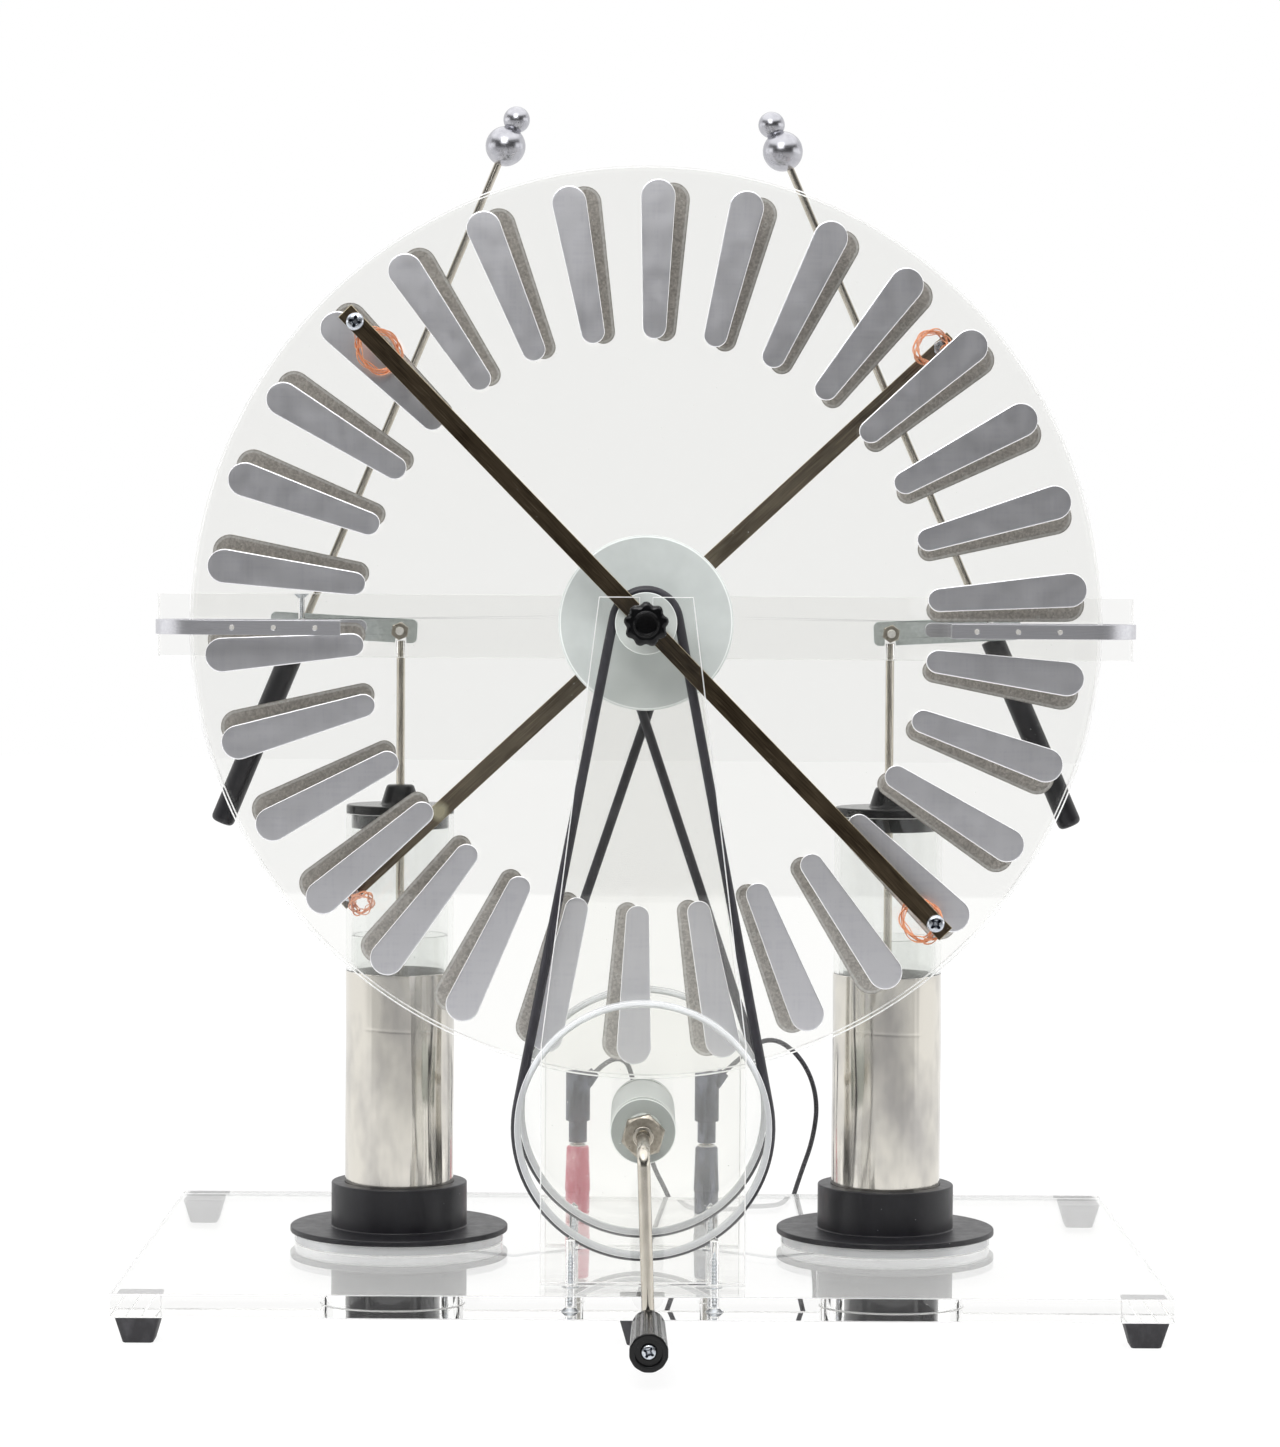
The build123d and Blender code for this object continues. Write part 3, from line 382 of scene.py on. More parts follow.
# Black plastic of the plugs and the sleeve, which handling has greyed
plug_plastic = dark_plastic("black_plug_plastic", "#252835", "#7A7F91", 0.34, 0.4, 0.01, 2.2)

# Black turned plastic of the jar holders and of the electrodes' handles, which is matt and shows grey
holder_plastic = dark_plastic("black_turned_plastic", "#131217", "#1F1E23", 0.34, 0.6, 0.008)

# Soft rubber of the feet: dull and dark grey
foot_rubber = dark_plastic("foot_rubber", "#29282B", "#454448", 0.55, 0.5, 0.03)

# Red moulded plastic of the socket's sleeve, scratched pale by handling
red_plastic = dark_plastic("red_moulded_plastic", "#C4415A", "#E6A9B4", 0.3, 0.5, 0.008, 2.2)

# Silicone sheath of the jumper lead: charcoal, dull and dusty
lead_sheath = dark_plastic("lead_sheath", "#2A292E", "#4A494F", 0.5, 0.4, 0.01, 2.5)

# Foil of the sectors: satin in front and mottled where it is glued; a pale ring just inside the edge of the
# glued back is dry glue and partly a painted highlight along the pressed edge
rolled_foil = sector_foil("rolled_aluminium_foil")
glued_back = foil_back("glued_foil_back", "#AFAAA5", "#E6E1DC")
dry_glue_and_glint = foil_back("dry_glue_and_painted_edge_highlight", "#DAD7D3", "#FAF9F7")

# Foil of the jars: the brightest metal of the machine, with the room in it
bright_foil = jar_foil("bright_jar_foil")


# Tools for shapes: a shape is an array of points in millimetres and an array of four cornered faces

def grid_faces(rows, columns):
    """The faces between neighbours of a grid whose rows close on themselves."""
    row = np.arange(rows - 1)[:, None] * columns
    column = np.arange(columns)[None]
    beside = (column + 1) % columns
    corners = [row + column, row + beside, row + columns + beside, row + columns + column]
    return np.stack(corners, -1).reshape(-1, 4)


def together(*shapes):
    """Several shapes as one."""
    starts = np.cumsum([0] + [len(points) for points, _ in shapes[:-1]])
    points = np.concatenate([points for points, _ in shapes])
    return points, np.concatenate([faces + start for (_, faces), start in zip(shapes, starts)])


def smooth(values):
    """A soft step from 0 to 1 as the values go from 0 to 1: v^2 (3 - 2v)."""
    values = np.clip(values, 0, 1)
    return values ** 2 * (3 - 2 * values)


def softened(corners, cuts, steps=4):
    """A profile with rounded corners: a corner C becomes (1-s)^2 A + 2s(1-s) C + s^2 B for s from 0 to 1,
    where A and B lie a cut before it and a cut after it. The first and the last corner stay."""
    corners = np.asarray(corners, float)
    sides = np.diff(corners, axis=0)
    sides /= np.linalg.norm(sides, axis=1, keepdims=True)
    cuts = np.broadcast_to(cuts, len(corners) - 2)[:, None, None]
    middle = corners[1:-1, None]
    s = np.linspace(0, 1, steps + 1)[None, :, None]
    before = middle - cuts * sides[:-1, None]
    after = middle + cuts * sides[1:, None]
    bends = (1 - s) ** 2 * before + 2 * s * (1 - s) * middle + s ** 2 * after
    return np.concatenate([corners[:1], bends.reshape(-1, 2), corners[-1:]])


def turned(profile, middle, along, sides, outline=None):
    """A shape turned about a line. The profile's point of radius r and distance h goes, at the angle t, to
    middle + h along + q (cos t u + sin t v), where q is r, or what the outline gives for r, h and t."""
    profile = np.asarray(profile, float)
    along = np.asarray(along, float) / np.linalg.norm(along)
    upright = abs(along[2]) > 0.99
    second = np.cross(along, (1.0, 0, 0) if upright else (0, 0, 1.0))
    second /= np.linalg.norm(second)
    first = np.cross(second, along)
    angle = np.arange(sides)[None] / sides * full_turn
    radius = profile[:, :1] + 0 * angle
    height = profile[:, 1:] + 0 * angle
    if outline:
        radius, height = outline(radius, height, angle)
    points = np.asarray(middle, float) + height[..., None] * along
    points = points + (radius * np.cos(angle))[..., None] * first
    points = points + (radius * np.sin(angle))[..., None] * second
    return points.reshape(-1, 3), grid_faces(len(profile), sides)


def at_jars(profile, sides, outline=None):
    """A turned shape of one jar, made for both."""
    return together(*[turned(profile, (x, bar_plane, base_top), (0, 0, 1), sides, outline)
                      for x in (-jar_x, jar_x)])


def swept(line, radius, sides):
    """A round wire along a line of points. At each of them it is the point plus radius (cos t u + sin t v),
    with u and v square to the line and to each other, and u to askew, which no line runs along."""
    askew = (0.21, 0.37, 0.9)
    heading = np.gradient(line, axis=0)
    heading /= np.linalg.norm(heading, axis=1, keepdims=True)
    first = np.cross(heading, askew)
    first /= np.linalg.norm(first, axis=1, keepdims=True)
    second = np.cross(heading, first)
    angle = np.arange(sides)[None, :, None] / sides * full_turn
    points = line[:, None] + radius * (np.cos(angle) * first[:, None] + np.sin(angle) * second[:, None])
    ends = np.repeat(line[[0, -1], None], sides, 1)
    points = np.concatenate([ends[:1], points, ends[1:]])
    return points.reshape(-1, 3), grid_faces(len(line) + 2, sides)


merge_distance = 0.002 * mm
flat_angle = math.radians(0.2)
edge_angle = math.radians(30)


def shade(mesh, sharp):
    """Smooth shading that stops at edges sharper than an angle."""
    mesh.polygons.foreach_set("use_smooth", np.ones(len(mesh.polygons), bool))
    mesh.set_sharp_from_angle(angle=sharp)


def settle(name, mesh, body):
    """A piece of a mesh that stands for the node of its name and rides on a body."""
    piece = bpy.data.objects.new(f"{name}_made", mesh)
    scene.collection.objects.link(piece)
    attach(piece, body)
    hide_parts(name)
    return piece


def put(name, shape, finishes, body, marks=None, sharp=35):
    """Make the piece that stands for a node from a shape, with its poles and seams merged. The marks say
    which of the finishes each face has."""
    points, faces = shape
    mesh = bpy.data.meshes.new(f"{name}_made")
    mesh.from_pydata((points * mm).tolist(), [], faces.tolist())
    for finish in finishes:
        mesh.materials.append(finish)
    if marks is not None:
        mesh.polygons.foreach_set("material_index", np.asarray(marks, np.int32))
    built = bmesh.new()
    built.from_mesh(mesh)
    bmesh.ops.remove_doubles(built, verts=built.verts, dist=merge_distance)
    bmesh.ops.recalc_face_normals(built, faces=built.faces)
    built.to_mesh(mesh)
    built.free()
    shade(mesh, math.radians(sharp))
    piece = settle(name, mesh, body)
    piece.modifiers.new("flats stay flat", "WEIGHTED_NORMAL").keep_sharp = True


def refined(name, finish, bevel, edge=None, clear=False, merge_flats=True):
    """A copy of a node with its triangles merged, smooth between its real edges, and those edges broken. A
    clear piece is drawn in by the air gap, so that air lies between it and its neighbours."""
    mesh = nodes[name].data.copy()
    mesh.materials.clear()
    for each in (finish, edge or finish):
        mesh.materials.append(each)
    if "custom_normal" in mesh.attributes:
        mesh.attributes.remove(mesh.attributes["custom_normal"])
    built = bmesh.new()
    built.from_mesh(mesh)
    bmesh.ops.remove_doubles(built, verts=built.verts, dist=merge_distance)
    if merge_flats:
        bmesh.ops.dissolve_limit(built, angle_limit=flat_angle, verts=built.verts, edges=built.edges)
    built.to_mesh(mesh)
    built.free()
    mesh.polygons.foreach_set("material_index", np.zeros(len(mesh.polygons), np.int32))
    shade(mesh, edge_angle)
    piece = settle(name, mesh, nodes[name]["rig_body"])
    if clear:
        gap = piece.modifiers.new("air gap", "DISPLACE")
        gap.mid_level = 0
        gap.strength = -air * mm
    if bevel:
        soft = piece.modifiers.new("broken edges", "BEVEL")
        soft.width = bevel * mm
        soft.segments = 2
        soft.limit_method = "ANGLE"
        soft.angle_limit = edge_angle
        soft.use_clamp_overlap = False
        soft.harden_normals = True
        soft.material = 1


# Jumper lead: up out of each plug, over the back edge and across the table behind the base

plug_exit = np.array([6.41, 0.67, 52.34])
heading = np.array([1, 0.14, 1])
heading = heading / np.linalg.norm(heading)
left_exit = np.array([-socket_x, socket_y - base_front, 0]) + plug_exit
right_exit = np.array([socket_x, socket_y - base_front, 0]) + plug_exit
lead_line = np.array([
    left_exit, left_exit + heading * 7,
    (-6, 188, 56.5), (-3.5, 195, 48), (0, 202.5, 31), (4, 213, 13), (9, 226, 2), (14, 235, -11),
    (22, 243, -16), (34, 248, -16), (47, 246, -16), (56, 238, -13.5), (58, 230.5, -4),
    (61, 221.5, 8), (65, 211.5, 22), (66.5, 204, 38), (61.5, 199, 53), (50, 193.5, 64),
    right_exit + heading * 11.2, right_exit,
]) + (0, base_front, base_top)
lead_radius = 0.9
curve = bpy.data.curves.new("jumper_lead_flex", "CURVE")
curve.dimensions = "3D"
line = curve.splines.new("NURBS")
line.points.add(len(lead_line) - 1)
line.points.foreach_set("co", np.c_[lead_line * mm, np.ones(len(lead_line))].ravel())
line.order_u = 3
line.use_endpoint_u = True
line.resolution_u = 12
curve.bevel_depth = lead_radius * mm
curve.bevel_resolution = 4
curve.use_fill_caps = True
curve.materials.append(lead_sheath)
lead = bpy.data.objects.new("jumper_lead_flex", curve)
scene.collection.objects.link(lead)
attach(lead, "stand")
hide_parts("jumper_lead")


# Clear pieces, with their broken edges. The cross bar keeps its triangles, because the bevel draws black
# lines across its flats where they are one face.

air = 0.03
edge_steps = 4
for name, bevel in (("base_plate", 0.35), ("front_upright", 0.3), ("rear_upright", 0.3), ("cross_bar", 0.2)):
    refined(name, cast_acrylic, bevel, frosted_edge, clear=True, merge_flats=name != "cross_bar")


def ring_of(inner, outer, low, high, cut=0.3):
    """The closed profile of a turned ring, with its outer edges broken by cut, drawn in by the air gap."""
    low, high, inner, outer = low + air, high - air, inner + air, outer - air
    corners = [(inner, low), (outer, low), (outer, high), (inner, high), (inner, low)]
    return softened(corners, [cut, cut, 0.1], edge_steps)


def ring_marks(sides, count=1):
    """Which faces of such a ring have the broken edge's finish."""
    broken = [1] * edge_steps
    step = [0] + broken + [0] + broken + [0] * (edge_steps + 2)
    return np.tile(np.repeat(step, sides), count)


disc_sides = 720
for name, side in (("front", -1), ("rear", 1)):
    sheet = ring_of(disc_bore, disc_radius, disc_near, disc_far)
    put(f"{name}_disc", turned(sheet, (0, disc_plane, axle_z), (0, side, 0), disc_sides),
        [cast_acrylic, frosted_edge], f"{name}_disc", ring_marks(disc_sides))
jar_sides = 144
for name, profile, finish, edge in (
    ("jar_pads", ring_of(24.8, 37, 0, 3.5), milky_ring, frosted_edge),
    ("jar_tubes", ring_of(17.2, 19, 5.5, 152, 0.2), acrylic_tube, frosted_edge),
    ("jar_liners", ring_of(15.8, 17, 7.3, 109, 0.2), acrylic_tube, acrylic_tube),
):
    put(name, at_jars(profile, jar_sides), [finish, edge], "stand", ring_marks(jar_sides, 2))

# Drive pulleys: a flange, a round groove for the belt, and the other flange
pulley_bore, pulley_radius = 6.05, 43.3
pulley_near, belt_plane, pulley_far = 22, 24.5, 27
groove_centre, groove_radius = 42.9, 1.8
groove_lip = math.acos((groove_centre - pulley_radius) / groove_radius)
bend = np.linspace(-1, 1, 17) * groove_lip
groove = np.c_[groove_centre - groove_radius * np.cos(bend), belt_plane + groove_radius * np.sin(bend)]
near_flange = softened([(pulley_bore, pulley_near), (pulley_radius, pulley_near), groove[0]], 0.2)
far_flange = softened([groove[-1], (pulley_radius, pulley_far), (pulley_bore, pulley_far)], 0.2)
pulley_profile = np.concatenate([near_flange, groove[1:-1], far_flange, [(pulley_bore, pulley_near)]])
groove_start = len(near_flange) - 1
groove_end = groove_start + len(groove) - 1
step = np.zeros(len(pulley_profile) - 1, int)
step[1:groove_start] = 1
step[groove_start:groove_end] = 2
step[groove_end:-2] = 1
pulley_sides = 192
shape = together(*[turned(pulley_profile, (0, disc_plane, crank_z), (0, side, 0), pulley_sides)
                   for side in (-1, 1)])
put("drive_pulleys", shape, [cast_acrylic, frosted_edge, turned_groove], "crank",
    np.tile(np.repeat(step, pulley_sides), 2))


# Pieces that keep their solid's form: finish, width of the broken edges, and those edges' finish

for name, finish, bevel, edge in (
    ("front_hub", turned_plastic, 0.28, plastic_edge_highlight), ("rear_hub", turned_plastic, 0.28, plastic_edge_highlight),
    ("drive_hub", turned_plastic, 0.3, plastic_edge_highlight), ("pulley_collars", shaded_collar_plastic, 0.3, plastic_edge_highlight),
    ("hub_spacer", nickel_plate, 0.2, None), ("axle_spacers", nickel_plate, 0.2, None),
    ("disc_axle", nickel_plate, 0.3, None), ("crank_rod", nickel_plate, 0.3, None),
    ("crank_bushes", nickel_plate, 0.25, None), ("front_belt", belt_rubber, 0, None),
    ("rear_belt", belt_rubber, 0, None), ("front_neutraliser", front_bronze, 0.18, filed_brass),
    ("rear_neutraliser", rear_bronze, 0.18, filed_brass), ("bar_studs", lit_nickel_ends, 0.25, None),
    ("left_link", zinc_plate, 0.12, None), ("right_link", zinc_plate, 0.12, None),
    ("left_comb", satin_strip, 0.18, None), ("right_comb", satin_strip, 0.18, None),
    ("comb_pins", lit_nickel_ends, 0.1, None), ("jar_rods", nickel_plate, 0.2, None),
    ("jar_bolts", nickel_plate, 0.3, None), ("jar_linings", bright_foil, 0, None),
    ("bonding_strips", tinned_strip, 0.08, None), ("socket_cores", lit_nickel_ends, 0.15, None),
    ("plug_pins", nickel_plate, 0.1, None), ("rubber_feet", foot_rubber, 0.4, None),
):
    refined(name, finish, bevel, edge)


# Foil sectors: a tapered strip with round ends, with a painted highlight in white round the edge

sector_count = 30


def sectors(side, phase):
    """All sectors at once, the first of them phase degrees from the top. A point goes to c + (r (1 - share) -
    inset) n, where c and r are the centre and radius of the end circle that it belongs to and n is the
    direction there, and height out from the disc's face. The rows run from the middle of the glued back,
    round the edge, to the middle of the bright face."""
    inner, outer, inner_radius, outer_radius = 100, 144.15, 4, 5.85
    end_steps = 25
    lean = math.asin((outer_radius - inner_radius) / (outer - inner))
    half = math.pi / 2 + lean
    steps = np.linspace(0, 1, end_steps)
    angle = np.concatenate([-half + 2 * half * steps, half + (full_turn - 2 * half) * steps])
    centre = np.repeat([outer, inner], end_steps)
    radius = np.repeat([outer_radius, inner_radius], end_steps)
    share = np.array([1, 0.5, 0, 0, 0, 0, 0, 0, 0, 0, 0.5, 1])
    inset = np.array([0, 0, 1.1, 0.35, 0, 0, 0.06, 0.17, 0.3, 0.5, 0, 0])
    height = np.array([-0.08, -0.08, -0.08, -0.08, -0.08, 0.06, 0.17, 0.25, 0.29, 0.3, 0.3, 0.3])
    reach = radius[None] * (1 - share[:, None]) - inset[:, None]
    out = centre[None] + reach * np.cos(angle)[None]
    aside = reach * np.sin(angle)[None]
    turn = (np.radians(phase) + np.arange(sector_count) * full_turn / sector_count)[:, None, None]
    x = out * np.sin(turn) + aside * np.cos(turn)
    z = out * np.cos(turn) - aside * np.sin(turn) + axle_z
    y = disc_plane + side * (disc_far + height[None, :, None]) + 0 * x
    faces = grid_faces(len(share), len(angle))
    # Faces marked white carry the painted highlight round the rim
    glued, white, glue_and_glint_ring, bright = 2, 1, 3, 0
    marks = [glued, glued, glue_and_glint_ring, glued, white, white, white, bright, bright, bright, bright]
    starts = np.arange(sector_count)[:, None, None] * len(share) * len(angle)
    shape = np.stack([x, y, z], -1).reshape(-1, 3), (faces[None] + starts).reshape(-1, 4)
    return shape, np.tile(np.repeat(marks, len(angle)), sector_count)


for name, side, phase in (("front", -1, 1.3), ("rear", 1, 3.3)):
    shape, marks = sectors(side, phase)
    put(f"{name}_sectors", shape, [rolled_foil, sector_rim_highlight, glued_back, dry_glue_and_glint], f"{name}_disc", marks)


# Electrodes: a rod with two chromed balls, a turned pivot, and a black handle

def ball(radius, at):
    """Half circle that turns into a ball: radius sin a and at - radius cos a, for a up to half a turn."""
    a = np.linspace(0, math.pi, 33)
    return np.c_[radius * np.sin(a), at - radius * np.cos(a)]


pivot_y = 47.05
rod_profile = [(0, 3.2), (1.35, 3.2), (1.35, 177.6), (0, 177.6)]
ball_profiles = [ball(7.1, 184), ball(4.7, 194.1)]
eye_profile = softened([(0, -4), (4, -4), (4, 4), (0, 4)], 0.5)
handle_profile = softened([(0, -4.3), (4.2, -4.3), (4.2, -76.7), (0, -76.7)], [0.5, 2.2], 8)
for name, x, lean in (("left", -stem_x, 22.6), ("right", stem_x, -23.6)):
    pivot = (x, pivot_y, bar_z)
    upward = (math.sin(math.radians(lean)), 0, math.cos(math.radians(lean)))
    rod = turned(rod_profile, pivot, upward, 32)
    eye = turned(eye_profile, pivot, (0, 1, 0), 56)
    balls = together(*[turned(profile, pivot, upward, 64) for profile in ball_profiles])
    marks = np.repeat([1, 0], [len(rod[1]) + len(eye[1]), len(balls[1])])
    shape = together(rod, eye, balls)
    put(f"{name}_electrode", shape, [chrome_plate, nickel_plate], f"{name}_electrode", marks)
    put(f"{name}_handle", turned(handle_profile, pivot, upward, 56), [holder_plastic], f"{name}_electrode")


# Screws and nuts

def screw_head(radius, height, middle, along, spin, round_off=5, slot=0.6):
    """A screw's head. It is height (1 - (r/R)^round_off)^0.5 high at the radius r, less the depth of a cross
    recess, full where the smaller of |x| and |y| is within the arm and the larger within its length, slot."""
    share = np.linspace(0, 1, 30) ** 0.8
    profile = np.concatenate([np.c_[share * radius, height * np.sqrt(1 - share ** round_off)], [(0, 0)]])

    def recess(r, h, t):
        x, y = np.abs(r * np.cos(t + math.radians(spin))), np.abs(r * np.sin(t + math.radians(spin)))
        narrow, wide = np.minimum(x, y) / radius, np.maximum(x, y) / radius
        depth = smooth((0.17 - 0.12 * wide - narrow) / 0.08 + 0.5) * smooth((slot - wide) / 0.16 + 0.5)
        corner = smooth((0.3 - wide) / 0.1)
        cut = np.maximum(depth, corner * 0.7) * 0.8 * height * (h > 0.2 * height)
        return r, h - cut

    return turned(profile, middle, along, 96, recess)


def pan_screw(radius, height, middle, along, shank, length, spin):
    """A pan headed screw with its plain shank behind it."""
    stem = turned([(0, 0.1), (shank, 0.1), (shank, -length), (0, -length)], middle, along, 32)
    return together(screw_head(radius, height, middle, along, spin), stem)


def nut(across, thick, hole, middle, along, spin):
    """A hexagon nut. Its radius is the smaller of the hexagon's, half / cos of the angle from the nearest
    flat, and that of a cone of 30 degrees that chamfers both ends."""
    half = across / 2
    low = np.linspace(0, 0.125 * across, 6)
    heights = np.concatenate([[0], low, thick - low[::-1], [thick, 0]])
    rings = np.concatenate([[hole], np.full(12, half), [hole, hole]])

    def outline(r, h, t):
        near = (t + math.radians(spin)) % (full_turn / 6) - full_turn / 12
        flat = half / np.cos(near)
        cone = 0.95 * half + np.minimum(h, thick - h) * 1.73
        return np.where(r > hole, np.minimum(flat, cone), r), h

    return turned(np.c_[rings, heights], middle, along, 96, outline)


def thread(head, shank, length, middle, along, pitch=1.2, depth=0.3):
    """A countersunk screw. Below the head its radius is shank - depth (1 - |sin(half turns)|), where the half
    turns count the pitch along it and the angle round it, and its last 3 mm taper to a point."""
    rows = np.linspace(head - shank, length, 150)
    profile = np.concatenate([
        [(0, 0), (head, 0), (head, 0.15)], np.c_[np.full(len(rows), shank), rows], [(0, length)],
    ])

    def ridges(r, h, t):
        wave = np.abs(np.sin(math.pi * (h / pitch) - t / 2))
        fade = smooth((h - head + shank) / 2)
        cut = depth * fade * (1 - wave)
        taper = np.clip((length - h) / 3, 0.05, 1) ** 0.6
        return np.where((h > head - shank) & (r > 0), (r - cut) * taper, r), h

    return turned(profile, middle, along, 40, ridges)


def bar_ways(side, slant):
    """The directions along a neutraliser, across it, and out from the discs."""
    along = np.array([math.cos(math.radians(slant)), 0, math.sin(math.radians(slant))])
    return along, np.array([-along[2], 0, along[0]]), np.array([0, side, 0])


disc_centre = np.array([0, disc_plane, axle_z])
screw_out, nut_out = 29.2, 25.2
for name, side, slant in (("front", -1, front_slant), ("rear", 1, rear_slant)):
    along, _, outward = bar_ways(side, slant)
    shapes = []
    for end, spin in ((-1, 12), (1, 50)):
        at = disc_centre + end * brush_reach * along
        shapes.append(pan_screw(3.1, 1.9, at + outward * screw_out, outward, 1.5, 4.6, spin))
        shapes.append(nut(5.5, 2, 1.5, at + outward * nut_out, outward, 10 + spin))
    put(f"{name}_brush_screws", together(*shapes), [blue_zinc], f"{name}_neutraliser")

upright_screw_x, upright_screw_ys = 24, (-50, 27.6)
bar_screw_x = 10
bar_top = bar_z + 11.2
comb_front_y = disc_plane + 15.05
upright_screws = [
    together(thread(3, 1.5, 19, (x, y, base_under + 0.02), (0, 0, 1)),
             screw_head(2.9, 0.25, (x, y, base_under + 0.15), (0, 0, -1), 30, 9, 0.75))
    for x in (-upright_screw_x, upright_screw_x) for y in upright_screw_ys
]
bar_screws = [
    together(thread(3, 1.5, 14, (x, bar_back_y - 0.02, bar_z), (0, -1, 0)),
             screw_head(2.9, 0.25, (x, bar_back_y - 0.2, bar_z), (0, 1, 0), 35, 9, 0.75))
    for x in (-bar_screw_x, bar_screw_x)
]
clamp_screws = [
    together(thread(2.8, 1.1, 9.2, (x, bar_plane, bar_top - 0.02), (0, 0, -1), 0.7, 0.15),
             screw_head(2.7, 0.25, (x, bar_plane, bar_top - 0.2), (0, 0, 1), 10, 9, 0.75))
    for x in (-stem_x, stem_x)
]
comb_screws = [pan_screw(1.9, 1.3, (x, comb_front_y, bar_z), (0, -1, 0), 0.95, 1.5, 15)
               for x in (-stem_x, stem_x)]
fixing_screws = together(*upright_screws, *bar_screws, *clamp_screws, *comb_screws)
put("fixing_screws", fixing_screws, [bright_zinc], "stand")
stem_nut_y, jar_nut_z, socket_nut_z = 51.15, bar_z - 1.8, 6
put("nickel_nuts", together(
    nut(13, 4.5, 3.5, (0, front_face_y, crank_z), (0, -1, 0), 15),
    nut(13, 4.5, 3.5, (0, rear_face_y, crank_z), (0, 1, 0), 0),
    *[nut(7, 3, 2, (x, stem_nut_y, bar_z), (0, 1, 0), 20) for x in (-stem_x, stem_x)],
    *[nut(5.6, 2.2, 1.5, (x, rear_face_y, jar_nut_z), (0, -1, 0), 8) for x in (-jar_x, jar_x)],
    *[nut(8, 2.5, 3, (x, socket_y, socket_nut_z), (0, 0, 1), 25) for x in (-socket_x, socket_x)],
), [satin_nickel], "stand", sharp=18)


# Wire brushes: copper strands, loosely laid into a loop that leans against the disc

strand_count, strand_radius = 9, 0.17
nut_depth, leaning_depth = 24.3, 8.3


def brush(at, inwards, across, outward, inward, aside, half_long, half_wide):
    """Strand k runs round an ellipse, half_long cos a and half_wide sin a, from under the nut to the disc and
    back. It wanders by sines of a, up to 1.25 mm in the loop's plane and 0.9 mm out of it."""
    s = np.linspace(0, 1, 150)
    past_start = s * full_turn * 1.12
    a = math.pi + past_start
    lead_in = smooth(s * 9)[:, None]
    loop = (inward + half_long * np.cos(a))[:, None] * inwards
    loop = loop + (aside + half_wide * np.sin(a))[:, None] * across
    deep = leaning_depth + (nut_depth - leaning_depth) / 2 * (1 + np.cos(past_start))
    line = at + loop * lead_in + deep[:, None] * outward
    radial = np.cos(a)[:, None] * inwards + np.sin(a)[:, None] * across
    wires = []
    for k in range(strand_count):
        sway = 0.8 * np.sin(1.6 * a + 2.4 * k) + 0.45 * np.sin(3.7 * a + 1.3 * k)
        depth = 0.6 * np.cos(1.9 * a + 1.7 * k) + 0.3 * np.sin(4.3 * a + 2.9 * k)
        off = sway[:, None] * radial + depth[:, None] * outward
        wires.append(swept(line + off, strand_radius, 6))
    return together(*wires)


# Each brush: the bar's end, the loop's middle inwards and aside of it, and half its length and width
for name, side, slant, loops in (
    ("front", -1, front_slant, ((-1, 11.5, -1.1, 6.9, 6.3), (1, 2.5, -2.8, 6.4, 6))),
    ("rear", 1, rear_slant, ((1, 3.5, 2.5, 6.5, 5.4), (-1, 1.5, -5, 4.4, 2.9))),
):
    along, across, outward = bar_ways(side, slant)
    shapes = [brush(disc_centre + end * brush_reach * along, -end * along, across, outward, *loop)
              for end, *loop in loops]
    put(f"{name}_brushes", together(*shapes), [copper_wire], f"{name}_neutraliser")


# Knobs, grip and its screw. Each corner of a profile is a radius and a distance along the axis.

def lobes(r, h, t):
    """Nine rounded lobes: the radius is r (1 - 0.12 v w), where v steps softly from 0 to 1 as r goes from 4.8
    to 6.4 mm and w is ((1 - cos 9t) / 2)^1.2."""
    return r * (1 - 0.12 * smooth((r - 4.8) / 1.6) * ((1 - np.cos(9 * t)) / 2) ** 1.2), h


knob_profile = softened([
    (0, 8.8), (3.3, 8.8), (3.45, 10.9), (3.9, 10.9), (4.2, 10.1), (5.6, 10.1), (7.5, 9.7), (7.5, 0.1),
    (0, 0.1),
], [0.15, 0.15, 0.15, 0.3, 0.5, 1.2, 0.8], 5)
seat_gap = 0.15
for name, seat, side in (("front", front_face_y - seat_gap, -1), ("rear", bar_back_y + seat_gap, 1)):
    shape = turned(knob_profile, (0, seat, axle_z), (0, side, 0), 180, lobes)
    put(f"{name}_knob", shape, [black_plastic], f"{name}_knob")

grip_x = crank_reach * math.sin(crank_angle)
grip_z = crank_z - crank_reach * math.cos(crank_angle)
grip_y, grip_screw_y = -146, -143.7
grip_length = 45
flute_count = 12


def flutes(r, h, t):
    """Grooves, each 0.5 (1 - (x/1.05)^2) deep at x mm from its middle, that fade out within 1.5 mm of the
    grip's ends."""
    spacing = full_turn / flute_count
    from_middle = ((t + spacing / 2) % spacing - spacing / 2) * r
    ends = smooth(h / 1.5) * smooth((grip_length - h) / 1.5)
    return r - 0.5 * np.clip(1 - (from_middle / 1.05) ** 2, 0, 1) * ends * (r > 4.6), h


grip_rows = np.linspace(1.2, 43.8, 24)
grip_profile = np.concatenate([
    softened([(2.15, 2.4), (4.35, 2.4), (4.35, 0), (6.2, 0), (6.19, 1.2)], [0.1, 0.3, 0.6]),
    np.c_[6.2 - 0.7 * grip_rows / grip_length, grip_rows],
    softened([(5.52, 43.8), (5.5, grip_length), (2.15, grip_length), (2.15, 2.4)], [0.7, 0.1]),
])
shape = turned(grip_profile, (grip_x, grip_y, grip_z), (0, 1, 0), 192, flutes)
put("crank_grip", shape, [black_plastic], "grip")
shape = pan_screw(2.7, 1.3, (grip_x, grip_screw_y, grip_z), (0, -1, 0), 1.8, 0.1, 30)
put("grip_screw", shape, [blue_zinc], "crank")


# Leyden jars: holders, lids and the outer foil, with heights above the base

